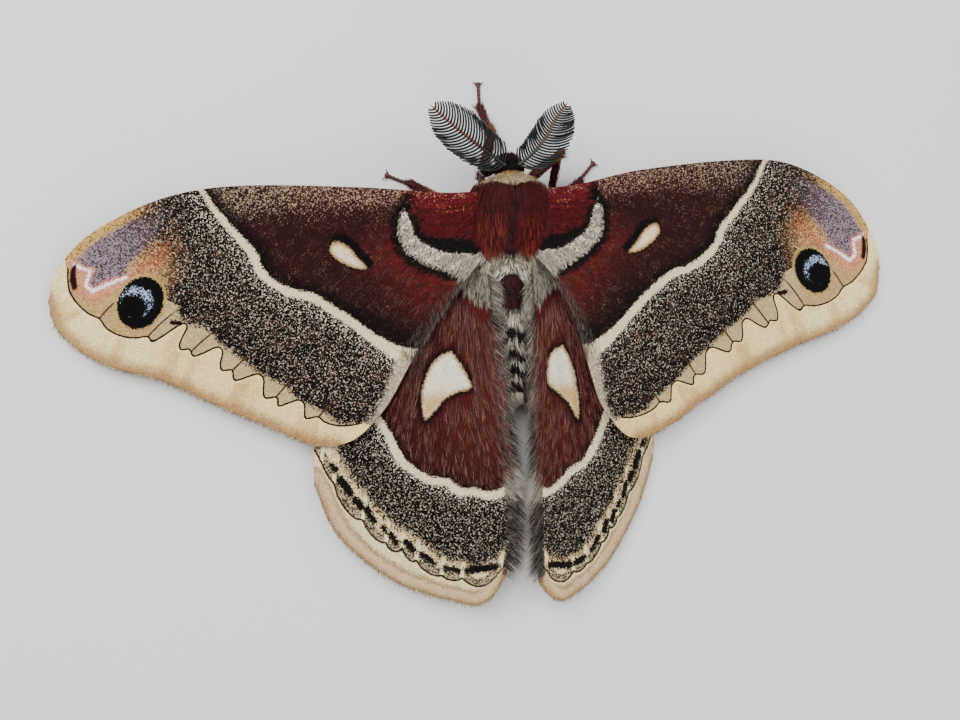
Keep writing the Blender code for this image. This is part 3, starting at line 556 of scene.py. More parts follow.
def hindwingFields(wing, u, v, place):
    marks = hindwingMarks
    half = "Right" if wing.side > 0 else ""
    pm = beyond(wing, u, v, place, marks["pmLine" + half])
    tile = beyond(wing, u, v, place, marks["tileLine"])
    spot = edgeOf(place, smoothLine(marks["spot" + half], 5))
    dash = np.full(len(u), 9.0)
    for u0, v0, u1, v1, thick in marks["dashes"]:
        reach = marks["dashGrowth"] * thick
        dash = np.minimum(dash, distanceTo(place, wing.line(((u0, v0), (u1, v1)))) - reach)
    arcPoints = []
    for (v0, u0), (v1, u1), bulge in zip(marks["arcs"], marks["arcs"][1:], marks["bulges"]):
        for share in (0.0, 0.15, 0.35, 0.65, 0.85):
            reach = bulge * math.sin(math.pi * share) ** 0.6
            arcPoints.append((u0 + (u1 - u0) * share + reach, v0 + (v1 - v0) * share))
    lastV, lastU = marks["arcs"][-1]
    scallop = beyond(wing, u, v, place, arcPoints + [(lastU, lastV)], 2)
    creamVein = np.full(len(u), 9.0)
    for v0, u0 in marks["arcs"][1:-1]:
        creamVein = np.minimum(creamVein, distanceTo(place, wing.line(((u0 - 0.08, v0), (u0, v0)))) - 0.26)
    # the share of light scales
    sprinkle = 0.05 + 0.06 * smooth(u, 0.25, 0.6)
    sprinkle = sprinkle + smooth(pm, 0.0, 1.0) * (0.24 + 0.16 * np.exp(-np.abs(pm) / 1.0) - sprinkle)
    sprinkle = np.where(scallop < 0, np.maximum(sprinkle, 0.60 * smooth(tile, 0, 0.6)), 0.7)
    sprinkle = np.where((np.abs(scallop + 0.75) < 0.6) & (creamVein > 0), 0.44, sprinkle)
    lunule = smooth(1.3 + scallop, 0, 0.4) * smooth(-scallop, 0, 0.2)
    return dict(
        pm=pm, tile=tile, spot=spot, dash=dash, scallop=scallop, creamVein=creamVein, sprinkle=sprinkle,
        rim=distanceTo(place, wing.outer),
        pmLine=np.abs(pm) - np.interp(v, *marks["pmWidth"]),
        lunule=np.where(creamVein > 0, lunule, 0.0),
        redFlush=smooth(v, 0.35, 0.85) * smooth(0.75 - u, 0, 0.3),
        pale=smooth(0.14 - u, 0, 0.08),
        corner=smooth(v, 0.91, 1.0) * smooth(tile, -1.5, 0.5),
        beyondTile=smooth(tile, -0.6, 0.1),
        inMargin=smooth(scallop, 0.2, 0.6),
        inSpot=smooth(-spot, 0.15, 0.5),
        spotTail=smooth(-place[:, 1], 19.5, 24.8))


# Each layer: field ("abs" for a line, "in" for where it is allowed), the values where it starts and is full,
# how ragged its edge is (mm or share), colour of the ground scales and of the light ones among them.
forewingLayers = (
    ("redFlush", 0.1, 1.0, 0.25, "4e1214", "642120"),
    ("costal", 0.10, 0.95, 0.3, "2c1110", "957a6a"),
    ("costal in outerHalf", 0.10, 0.8, 0.3, "190d0b", "97836f"),
    ("basal", 0.3, 0.7, 0.3, "4e0713", "9a6a55"),
    ("goldLine", 0.3, 0.8, 0.3, "6a1614", "cf9150"),
    ("pmShade", -2.5, -0.8, 1.0, "040202", "120909"),
    ("pm", 0.2, 0.6, 0.3, "050403", "cfc4b0"),
    ("pm", 1.2, 3.0, 0.8, "050403", "a89a88"),
    ("tan", 0.10, 0.65, 0.40, "4a3320", "b8966a"),
    ("tan", 0.50, 0.95, 0.45, "a0834f", "bfa06e"),
    ("tile", -0.15, 0.20, 0.7, "b09a70", "c9b68c"),
    ("tan in beyondTile", 0.45, 0.9, 0.15, "a38553", "b99a68"),
    ("ember", 0.1, 0.95, 0.6, "86502f", "c28b62"),
    ("lilac", 0.15, 0.85, 0.5, "41343a", "8c7882"),
    ("peach", 0.1, 0.9, 0.25, "b06c44", "cb9068"),
    ("gold", 0.3, 0.8, 0.3, "7d5829", "c79f5c"),
    ("bandShade", 1.50, 0.75, 0.8, "040202", "0c0505"),
    ("band", 0.2, -0.05, 0.7, "3b3327", "efe5cd"),
    ("shade", 0.75, 0.15, 0.35, "030101", "0a0404"),
    ("spot", 0.30, 0.08, 0.2, "0c0403", "1c0b08"),
    ("spot", 0.08, -0.20, 0.25, "a07a50", "c4a074"),
    ("spot", -0.05, -0.75, 0.25, "e3cfa8", "f0e0be"),
    ("pmLine", 0.1, -0.1, 0.4, "dccba6", "f3e7ca"),
    ("strip", 0.2, 0.9, 0.5, "9a8a76", "dccfb8"),
    ("smudge", 0.25, 0.0, 0.3, "050302", "0c0706"),
    ("abs veinSide in veinShown", 0.15, 0.06, 0.04, "3a2613", "54391e"),
    ("eye", 0.55, 0.15, 0.15, "a3854e", "b59660"),
    ("eye", 0.05, -0.05, 0.25, "000000", "020202"),
    ("crescent", 0.12, -0.25, 0.60, "1c2438", "aebad6"),
    ("zigzag", 0.75, 0.30, 0.35, "b06a5c", "cf8a7a"),
    ("zigzag", 0.29, 0.12, 0.22, "ffeee2", "ffffff"),
    ("wave", -0.02, 0.08, 0.10, "f0d190", "f9e3a8"),
    # painted shade of folds across the cream margin
    ("fold in inMargin", 0.35, 1.2, 0.5, "cfa668", "ddb97c"),
    ("rim in inMargin", 1.7, 0.2, 0.9, "a67c50", "c0986a"),
    ("apexMark", 0.18, -0.1, 0.12, "170305", "240608"),
    ("abs wave", 0.17, 0.08, 0.05, "0c0805", "1d150c"),
)
hindwingLayers = (
    ("redFlush", 0.1, 1.0, 0.2, "451211", "5c2522"),
    ("pale", 0.2, 0.9, 0.3, "7d6f60", "cbbda5"),
    ("pm", -2.2, -0.3, 0.8, "070303", "1d0e0d"),
    ("pm", 0.2, 0.6, 0.3, "050403", "cabfad"),
    ("pm", 0.9, 2.2, 0.6, "050403", "a0937f"),
    ("tile", -0.35, 0.40, 1.5, "d2b684", "e4cfa2"),
    ("lunule", 0.2, 0.8, 0.3, "342c22", "b3a17e"),
    ("creamVein in beyondTile", 0.1, -0.1, 0.2, "e6cd98", "f3dfb3"),
    ("spot", 0.95, 0.20, 0.6, "070302", "120705"),
    ("spot", 0.12, -0.12, 0.30, "a3825a", "c0a078"),
    ("spot", -0.02, -0.6, 0.35, "e9dcc0", "f7ecd4"),
    ("spotTail in inSpot", 0.10, 1.00, 0.10, "c2985e", "d9b780"),
    ("pmLine", 0.1, -0.1, 0.4, "dccba6", "f3e7ca"),
    ("dash", 0.18, -0.08, 0.5, "050303", "100b08"),
    ("scallop", 0.0, 0.15, 0.10, "dcc092", "ead2a2"),
    ("rim in inMargin", 2.6, 2.0, 0.6, "8e7352", "a88c66"),
    ("rim in inMargin", 1.85, 1.3, 0.6, "c9b088", "dac39a"),
    ("rim in inMargin", 0.65, 0.1, 0.5, "6f563c", "8a6f50"),
    ("corner", 0.15, 1.0, 0.35, "2a1d13", "7a6448"),
    ("abs scallop", 0.20, 0.10, 0.10, "100b07", "2a2117"),
)

# mm: one scale, a clump of scales, slow drift, depth of the relief, where the rim browns;
# and the levels between which a scale turns light
clothPlan = dict(scale=0.14, clump=0.24, drift=1.6, relief=0.10, browning=(2.9, 0.6), light=(0.84, 0.93))


def wingMaterial(name, ground, scales, layers, rimColour, saturation=1.0):
    # Wing membrane under overlapping scales: dull and velvety, no gloss, each scale its own shade
    material, tree, shader = newMaterial(name, Roughness=0.85, Specular_IOR_Level=0.10, Sheen_Weight=0.03)
    place = addNode(tree, "TexCoord").outputs["Object"]
    cells = addNode(tree, "TexVoronoi", {"Vector": place}, {"Scale": 1 / (clothPlan["scale"] * mm)})
    cellParts = addNode(tree, "SeparateColor", {"Color": cells.outputs["Color"]})
    clumps = addNode(tree, "TexNoise", {"Vector": place}, {
        "Scale": 1 / (clothPlan["clump"] * mm), "Detail": 1.0, "Roughness": 0.6, "Distortion": 0.5})
    drift = addNode(tree, "TexNoise", {"Vector": place}, {
        "Scale": 1 / (clothPlan["drift"] * mm), "Detail": 2.0})
    jitter = addNode(tree, "Math", {0: cellParts.outputs[0], 1: drift.outputs["Fac"]}, operation="ADD")
    ragged = addNode(tree, "Math", {0: jitter.outputs[0]}, {1: 1.0}, operation="SUBTRACT")
    grounds = hexColour(ground)
    lights = hexColour(scales)
    groundOut = scaleOut = None
    for field, start, full, fray, groundCode, scaleCode in layers:
        field, _, window = field.partition(" in ")
        source = addNode(tree, "Attribute", attribute_name=field.removeprefix("abs ")).outputs["Fac"]
        if field.startswith("abs "):
            source = addNode(tree, "Math", {0: source}, operation="ABSOLUTE").outputs[0]
        edge = addNode(tree, "Math", {0: ragged.outputs[0], 2: source}, {1: fray}, operation="MULTIPLY_ADD")
        mask = addNode(tree, "MapRange", {"Value": edge.outputs[0]}, {"From Min": start, "From Max": full},
                       interpolation_type="SMOOTHSTEP").outputs[0]
        if window:
            allowed = addNode(tree, "Attribute", attribute_name=window).outputs["Fac"]
            mask = addNode(tree, "Math", {0: mask, 1: allowed}, operation="MULTIPLY").outputs[0]
        groundMix = addNode(tree, "Mix", {0: mask}, {6: grounds, 7: hexColour(groundCode)}, data_type="RGBA")
        scaleMix = addNode(tree, "Mix", {0: mask}, {6: lights, 7: hexColour(scaleCode)}, data_type="RGBA")
        if groundOut:
            tree.links.new(groundOut, groundMix.inputs[6])
            tree.links.new(scaleOut, scaleMix.inputs[6])
        groundOut = groundMix.outputs[2]
        scaleOut = scaleMix.outputs[2]
    # The share of light scales says how often a clump is light
    sprinkle = addNode(tree, "Attribute", attribute_name="sprinkle").outputs["Fac"]
    mixture = addNode(tree, "Math", {0: cellParts.outputs[1], 2: clumps.outputs["Fac"]}, {1: 0.26},
                      operation="MULTIPLY_ADD")
    level = addNode(tree, "Math", {0: sprinkle, 2: mixture.outputs[0]}, {1: 0.55}, operation="MULTIPLY_ADD")
    light = addNode(tree, "MapRange", {"Value": level.outputs[0]},
                    {"From Min": clothPlan["light"][0], "From Max": clothPlan["light"][1]},
                    interpolation_type="SMOOTHSTEP")
    colour = addNode(tree, "Mix", {0: light.outputs[0], 6: groundOut, 7: scaleOut}, data_type="RGBA")
    # The outer edge browns where the cilia start
    rim = addNode(tree, "Attribute", attribute_name="rim").outputs["Fac"]
    rimEdge = addNode(tree, "Math", {0: drift.outputs["Fac"], 2: rim}, {1: 1.6}, operation="MULTIPLY_ADD")
    brown = addNode(tree, "MapRange", {"Value": rimEdge.outputs[0]}, {
        "From Min": clothPlan["browning"][0], "From Max": clothPlan["browning"][1], "To Max": 0.75})
    edged = addNode(tree, "Mix", {0: brown.outputs[0], 6: colour.outputs[2]}, {7: hexColour(rimColour)},
                    data_type="RGBA")
    shade = addNode(tree, "MapRange", {"Value": cellParts.outputs[2]}, {"To Min": 0.76, "To Max": 1.16})
    varied = addNode(tree, "HueSaturation", {"Color": edged.outputs[2], "Value": shade.outputs[0]},
                     {"Saturation": saturation})
    tree.links.new(varied.outputs[0], shader.inputs["Base Color"])
    relief = addNode(tree, "Math", {0: cells.outputs["Distance"], 2: clumps.outputs["Fac"]}, {1: -0.6},
                     operation="MULTIPLY_ADD")
    bump = addNode(tree, "Bump", {"Height": relief.outputs[0]},
                   {"Strength": 0.5, "Distance": clothPlan["relief"] * mm})
    tree.links.new(bump.outputs["Normal"], shader.inputs["Normal"])
    return material


def underMaterial(name, layers, shown):
    # below, only some of the markings show on a paler ground
    layers = [row for row in layers if row[0] in shown]
    return wingMaterial(name, "6b4f48", "b59c90", layers, "a98763", saturation=0.75)


wingMaterials = {
    "forewing": (wingMaterial("wingScalesMaroonUpper", "220a0b", "451d1c", forewingLayers, "a57f50"),
                 underMaterial("wingScalesUnder", forewingLayers,
                               ("pm", "pmLine", "wave", "abs wave", "eye", "tile", "spot"))),
    "hindwing": (wingMaterial("wingScalesRedUpper", "2f0e0d", "52241f", hindwingLayers, "a57f50"),
                 underMaterial("wingScalesHindUnder", hindwingLayers,
                               ("pm", "pmLine", "dash", "scallop", "abs scallop", "spot"))),
}
wingFields = {"forewing": forewingFields, "hindwing": hindwingFields}
# cells along and across each wing
wingGrid = {"forewing": (210, 140), "hindwing": (170, 130)}
wings = {name: Wing(name) for name in wingShapes}


def makeWing(wing):
    along, across = wingGrid[wing.kind]
    clearSelection()
    bpy.ops.mesh.primitive_grid_add(x_subdivisions=along, y_subdivisions=across, size=2)
    piece = bpy.context.object
    corner = readPoints(piece.data)
    u = (1 + wing.side * corner[:, 0]) / 2
    v = (1 - corner[:, 1]) / 2
    fields = wingFields[wing.kind](wing, u, v, wing.flat(u, v))
    points = wing.surface(u, v)
    vein = np.abs(veinSide(wing, u, v))
    ripple = np.cos(np.clip(vein / wingPlan["cell"], 0, 1) * math.pi)  # cells sag a little between veins
    points[:, 2] += wingPlan["veinRaise"] * np.exp(-(vein / wingPlan["veinWidth"]) ** 2)
    points[:, 2] += wingPlan["ripple"] * ripple * smooth(u, 0.2, 0.6)
    placePoints(piece.data, points)
    setBakeMap(piece.data, np.stack([0.01 + 0.47 * u, 0.02 + 0.96 * v], -1))
    for name, values in fields.items():
        setField(piece.data, name, values)
    useModifier(piece, "SOLIDIFY", thickness=wingPlan["thickness"] * mm, offset=-1.0, material_offset=1,
                material_offset_rim=0)
    # the underside has the other half of the bake map
    mesh = piece.data
    kinds = np.zeros(len(mesh.polygons), np.int32)
    totals = np.zeros(len(mesh.polygons), np.int32)
    uv = np.zeros(len(mesh.loops) * 2, np.float32)
    mesh.polygons.foreach_get("material_index", kinds)
    mesh.polygons.foreach_get("loop_total", totals)
    mesh.uv_layers["OFBake"].data.foreach_get("uv", uv)
    uv[::2][np.repeat(kinds, totals) == 1] += 0.5
    mesh.uv_layers["OFBake"].data.foreach_set("uv", uv)
    finishPiece(piece, "wing_" + wing.name, wingMaterials[wing.kind], (wing.name,))


for wing in wings.values():
    makeWing(wing)
    print("wing made:", wing.name)


# Body under the coat: one skin from the face to the tip of the abdomen

bodyPlan = dict(depth=0.35, segments=56, rings=120, headBend=1.2)
bodyRings = (  # y, half width, underside, top
    (9.5, 0.35, 7.1, 7.8), (9.1, 0.9, 6.6, 8.4), (8.8, 1.5, 6.0, 9.0), (8.1, 2.0, 5.5, 9.5),
    (7.2, 2.2, 5.4, 9.7), (6.6, 2.1, 5.7, 9.6), (6.3, 2.3, 5.6, 9.9), (5.5, 3.2, 4.8, 10.8),
    (3.6, 3.9, 4.1, 11.6), (0.6, 4.1, 3.9, 11.9), (-2.4, 3.8, 4.2, 11.3), (-4.2, 3.4, 3.9, 10.4),
    (-5.2, 3.3, 3.4, 9.6), (-7.5, 3.4, 3.2, 9.2), (-10.5, 3.3, 3.1, 8.9), (-14.0, 2.95, 3.1, 8.4),
    (-17.5, 2.4, 3.3, 7.6), (-20.5, 1.8, 3.7, 6.9), (-22.3, 1.2, 4.1, 6.1), (-23.0, 0.4, 4.7, 5.5))
bodyLine = smoothLine(bodyRings, 6)
bodyOrder = np.argsort(bodyLine[:, 0])


def bodyPoint(share, angle, depth=0.0):
    # share runs from the face (0) to the tail (1), angle is 0 on top and grows towards the right side
    y = alongLine(bodyLine[:, :1], share)[:, 0]
    half, low, high = (np.interp(y, bodyLine[bodyOrder, 0], bodyLine[bodyOrder, k]) for k in (1, 2, 3))
    wide = np.maximum(half - depth, 0.02)
    tall = np.maximum((high - low) / 2 - depth, 0.02)
    bend = bodyPlan["headBend"] * smooth(y, -2.0, 8.0)
    return np.stack([bend + wide * np.sin(angle), y, (low + high) / 2 + tall * np.cos(angle)], -1)


def bodyShare(y):
    lengths = np.r_[0, np.cumsum(np.abs(np.diff(bodyLine[:, 0])))]
    return np.interp(y, bodyLine[bodyOrder, 0], (lengths / lengths[-1])[bodyOrder])


def bodyNormal(share, angle):
    step = 1e-3
    alongStep = bodyPoint(np.clip(share + step, 0, 1), angle) - bodyPoint(np.clip(share - step, 0, 1), angle)
    aroundStep = bodyPoint(share, angle + step) - bodyPoint(share, angle - step)
    return unit(np.cross(aroundStep, alongStep)) * -1


coatCodes = {
    "cream": "efdfb9", "straw": "8a6836", "crimson": "4a0a0e", "claret": "5c1217", "ember": "8a3826",
    "soot": "060404", "wine": "2b0709", "ash": "463c31", "dust": "84786a", "snow": "efe4cd",
    "smoke": "221b16", "rust": "43130f", "umber": "150b08"}
coatColours = {name: np.array(hexColour(code)[:3]) for name, code in coatCodes.items()}
abdomenMarks = dict(saddle=(0.3, -8.4, 2.1, 2.4), spots=(-13.9, -16.8, -19.2, -21.4), spotHalf=0.90,
                    spotReach=1.9, chevron=0.5)


def bodyColour(points):
    # the colour of skin and coat at each place, as RGB: each layer covers the ones before it
    x, y, z = points.T
    x = x - bodyPlan["headBend"] * smooth(y, -2.0, 8.0)
    colour = np.tile(coatColours["rust"], (len(points), 1))
    topside = smooth(z, 6.0, 7.6)
    lobes = topside * smooth(4.9 - y, -0.3, 0.3)
    midLine = np.abs(x - 0.2)
    rear = smooth(-10.5 - y, -1.0, 1.5)
    layers = [
        ("umber", smooth(y, 6.8, 7.4)),
        ("straw", smooth(y, 4.9, 5.4) * smooth(7.3 - y, 0, 0.5)),
        ("crimson", lobes * smooth(y, -4.6, -3.6)),
        # a dark line down the middle between the lobes: painted shade of the gap between them
        ("soot", lobes * smooth(0.75 - midLine, -0.2, 0.3) * smooth(y, -4.2, -3.0)),
        ("snow", smooth(-3.6 - y, -0.4, 0.4) * smooth(z, 5.0, 7.0)),
        ("ash", rear),
        ("snow", rear * smooth(1.25 - midLine, -0.4, 0.5) * smooth(z, 5.6, 6.6))]
    saddleX, saddleY, wide, tall = abdomenMarks["saddle"]
    diamond = 1.15 - np.abs((x - saddleX) / wide) ** 1.3 - np.abs((y - saddleY) / tall) ** 1.3
    layers.append(("wine", smooth(diamond, 0, 0.3) * smooth(z, 6.5, 7.5)))
    lobed = abdomenMarks["chevron"] * np.cos(x * 2 * math.pi / 1.9)  # each bar is lobed like a W
    for k, place in enumerate(abdomenMarks["spots"]):
        half = abdomenMarks["spotHalf"] * (1 - 0.09 * k)
        reach = abdomenMarks["spotReach"] * (1 - 0.1 * k)
        bar = 1.2 - np.hypot(x / reach, (y - (place + lobed)) / half)
        layers.append(("soot" if k < 3 else "wine", smooth(bar, 0, 0.35) * smooth(z, 5.0, 5.8)))
    for name, weight in layers:
        colour += weight[:, None] * (coatColours[name] - colour)
    shadow = smooth(0.9 - np.abs(y + 10.2), 0, 0.6) * smooth(1.6 - np.abs(x), 0, 0.5) * topside
    colour += shadow[:, None] * 0.7 * (coatColours["soot"] - colour)
    belly = smooth(5.2 - z, 0, 1.0) * smooth(-6 - y, 0, 2)
    bands = (0.5 + 0.5 * np.sin((y + 5) * 2 * math.pi / 2.5))[:, None]
    colour += belly[:, None] * ((bands * coatColours["rust"] + (1 - bands) * coatColours["snow"]) - colour)
    return colour


def tintedMaterial(name, grain, spread, **sockets):
    # the colour of each point from coatTint, mottled lighter and darker
    material, tree, shader = newMaterial(name, **sockets)
    tint = addNode(tree, "Attribute", attribute_name="coatTint").outputs["Color"]
    place = addNode(tree, "TexCoord").outputs["Object"]
    mottle = addNode(tree, "TexNoise", {"Vector": place}, {"Scale": 1 / (grain * mm), "Detail": 2.0})
    shade = addNode(tree, "MapRange", {"Value": mottle.outputs["Fac"]},
                    {"To Min": 1 - spread, "To Max": 1 + spread})
    varied = addNode(tree, "HueSaturation", {"Color": tint, "Value": shade.outputs[0]})
    tree.links.new(varied.outputs[0], shader.inputs["Base Color"])
    return material, tree, shader


# Hair scales: fine dull keratin strands, a soft sheen along them and no hard highlight
coatGrain = dict(grain=0.35, spread=0.28, Specular_IOR_Level=0.15, Sheen_Weight=0.04)
skinMaterial, tree, shader = tintedMaterial("bodyDown", Roughness=0.9, **coatGrain)
place = addNode(tree, "TexCoord").outputs["Object"]
down = addNode(tree, "TexNoise", {"Vector": place}, {"Scale": 1 / (0.15 * mm), "Detail": 3.0})
fluff = addNode(tree, "Bump", {"Height": down.outputs["Fac"]}, {"Strength": 0.8, "Distance": 0.12 * mm})
tree.links.new(fluff.outputs["Normal"], shader.inputs["Normal"])
coatPlain = tintedMaterial("hairScales", Roughness=0.75, **coatGrain)[0]

clearSelection()
bpy.ops.mesh.primitive_uv_sphere_add(segments=bodyPlan["segments"], ring_count=bodyPlan["rings"], radius=1)
skin = bpy.context.object
ball = readPoints(skin.data)
share = np.arccos(np.clip(ball[:, 2], -1, 1)) / math.pi
angle = np.arctan2(ball[:, 0], ball[:, 1])
skinPoints = bodyPoint(share, angle, bodyPlan["depth"])
placePoints(skin.data, skinPoints)
setTint(skin.data, bodyColour(skinPoints))
skin.data.uv_layers.active.name = "OFBake"
turnFacesOut(skin)
finishPiece(skin, "skin_body", [skinMaterial], ("head", "thorax", "abdomen"))
print("skin made")


# Hair: one tuft is modelled and then copied, each copy bent along its own lie

# from which mean length (mm) the longer shape is taken, how flat a tuft is and how far it tapers,
# tufts per leading tuft and per batch, size of a tuft on the bake map
tuftPlan = dict(longFrom=1.9, flat=0.45, taper=0.75, perLeader=14, perBatch=500, bakePatch=0.003)


def modelTuft(cuts):
    clearSelection()
    bpy.ops.mesh.primitive_cone_add(vertices=3, radius1=0.5, radius2=0, depth=1, location=(0, 0, 0.5))
    tuft = bpy.context.object
    bpy.ops.object.transform_apply(location=True)
    bpy.ops.object.mode_set(mode="EDIT")
    for cut in cuts:
        bpy.ops.mesh.select_all(action="SELECT")
        bpy.ops.mesh.bisect(plane_co=(0, 0, cut), plane_no=(0, 0, 1))
    bpy.ops.mesh.select_all(action="SELECT")
    bpy.ops.mesh.quads_convert_to_tris()
    bpy.ops.object.mode_set(mode="OBJECT")
    points = readPoints(tuft.data)
    corners = np.array([p.vertices[:] for p in tuft.data.polygons])
    bpy.data.objects.remove(tuft)
    points[:, :2] /= np.maximum(1 - points[:, 2:], 0.02)  # straight sides: the width is set per copy
    points[points[:, 2] > 0.999, :2] = 0
    return points, corners


tuftShape = modelTuft((0.3, 0.65))
shortShape = modelTuft((0.5,))


def plantTufts(name, draw, roots, normals, lies, lengths, widths, rises, rootColours, tipColours, bakePlaces,
               shape=None, sink=0.3, curve=0.0, clump=0.0):
    body, corners = shape or (tuftShape if np.mean(lengths) > tuftPlan["longFrom"] else shortShape)
    count, size = len(roots), len(body)
    lengths, widths, rises = (np.broadcast_to(a, count).reshape(-1, 1, 1) for a in (lengths, widths, rises))
    rootColours, tipColours = (np.broadcast_to(a, (count, 3))[:, None] for a in (rootColours, tipColours))
    reach = unit(lies) * lengths[:, 0]
    if clump:  # tips lean to those of the nearest leading tuft
        leaders = draw.permutation(count)[:max(count // tuftPlan["perLeader"], 1)]
        batches = np.array_split(roots, max(count // tuftPlan["perBatch"], 1))
        nearest = [((batch[:, None] - roots[leaders][None]) ** 2).sum(-1).argmin(1) for batch in batches]
        leader = leaders[np.concatenate(nearest)]
        reach = reach + clump * (roots[leader] + reach[leader] - roots - reach)
        lengths = np.linalg.norm(reach, axis=1).reshape(-1, 1, 1)
    lies = unit(reach)
    across = unit(np.cross(normals, lies))
    t = body[None, :, 2:3]
    taper = 1.0 - tuftPlan["taper"] * t ** 1.5
    lift = -sink + (rises + sink) * smooth(2.2 * t) - rises * t * t
    bend = curve * lengths * t * t
    points = (roots[:, None] + lies[:, None] * lengths * t + normals[:, None] * lift
              + across[:, None] * (bend * draw.uniform(-1, 1, (count, 1, 1)))
              + across[:, None] * body[None, :, 0:1] * widths * taper
              + normals[:, None] * body[None, :, 1:2] * widths * tuftPlan["flat"] * taper)
    faces = corners[None] + size * np.arange(count)[:, None, None]
    piece = meshOf(name, points.reshape(-1, 3), faces.reshape(-1, 3))
    shade = 0.40 + 1.15 * draw.uniform(0, 1, (count, 1, 1)) ** 1.4
    colours = (rootColours * (1 - t) + tipColours * t) * shade
    setTint(piece.data, np.clip(colours, 0, 1).reshape(-1, 3))
    patch = np.stack([body[:, 0], body[:, 2] - 0.5], -1) * tuftPlan["bakePatch"]
    setBakeMap(piece.data, np.clip((bakePlaces[:, None] + patch[None]).reshape(-1, 2), 0.001, 0.999))
    finishPiece(piece, name, [coatPlain])


# Body coat patches: y from front to rear, angle from the top in degrees on both sides, size in mm,
# lie outwards, along and up, colours at the root and the tip (None: those of the skin there)
coatPatches = {
    "hair_collar": dict(y=(6.3, 5.0), angle=(0, 100), count=3400, length=1.15, width=0.10, rise=0.7,
                        lie=(1.25, 0.15, 0.05), root="straw", tip="cream", clump=0.2),
    "hair_head": dict(y=(9.3, 6.9), angle=(0, 180), count=2100, length=0.9, width=0.11, rise=0.35,
                      lie=(0.3, 0.7, 0.1), root="soot", tip="umber", clump=0.2),
    "hair_lobes": dict(y=(5.6, -1.4), angle=(9, 98), count=9400, length=3.3, width=0.13, rise=1.55,
                       lie=(0.26, -1.0, -0.02), root="wine", tip="claret", clump=0.45),
    "hair_ember": dict(y=(1.8, -2.8), angle=(16, 74), count=900, length=3.4, width=0.085, rise=1.8,
                       lie=(0.22, -1.0, 0.0), root="claret", tip="ember", clump=0.6),
    # dark hair down the middle between the lobes: painted shade of the gap between them
    "hair_crest": dict(y=(4.6, -2.6), angle=(0, 12), count=1300, length=2.6, width=0.13, rise=0.35,
                       lie=(0.05, -1.0, 0.0), root="soot", tip="wine", clump=0.3),
    "hair_rear": dict(y=(-2.3, -7.6), angle=(0, 108), count=8200, length=5.4, width=0.080, rise=1.15,
                      lie=(0.55, -1.0, -0.12), root="dust", tip="snow", clump=0.7),
    "hair_saddle": dict(y=(-6.4, -9.8), angle=(0, 30), count=1700, length=2.1, width=0.11, rise=1.0,
                        lie=(0.25, -1.0, -0.05), root="soot", tip="claret", clump=0.4),
    "hair_abdomen": dict(y=(-8.8, -22.9), angle=(0, 72), count=7600, length=2.3, width=0.085, rise=0.6,
                         lie=(0.85, -1.0, -0.05), root=None, tip=None, clump=0.5),
    "hair_flank_grey": dict(y=(-7.5, -22.8), angle=(44, 112), count=5200, length=3.9, width=0.085, rise=0.9,
                            lie=(0.95, -1.0, 0.0), root="soot", tip="snow", clump=0.5),
    "hair_belly": dict(y=(6.0, -22.6), angle=(100, 180), count=6200, length=1.8, width=0.15, rise=0.5,
                       lie=(0.15, -1.0, 0.0), root=None, tip=None, clump=0.2),
    "hair_flank": dict(y=(5.2, -4.8), angle=(84, 128), count=3400, length=2.2, width=0.15, rise=0.8,
                       lie=(0.35, -1.0, -0.2), root="umber", tip="rust", clump=0.3),
}
tailBrush = dict(count=600, y=(-22.9, -22.2))  # the tufts at the tip of the abdomen
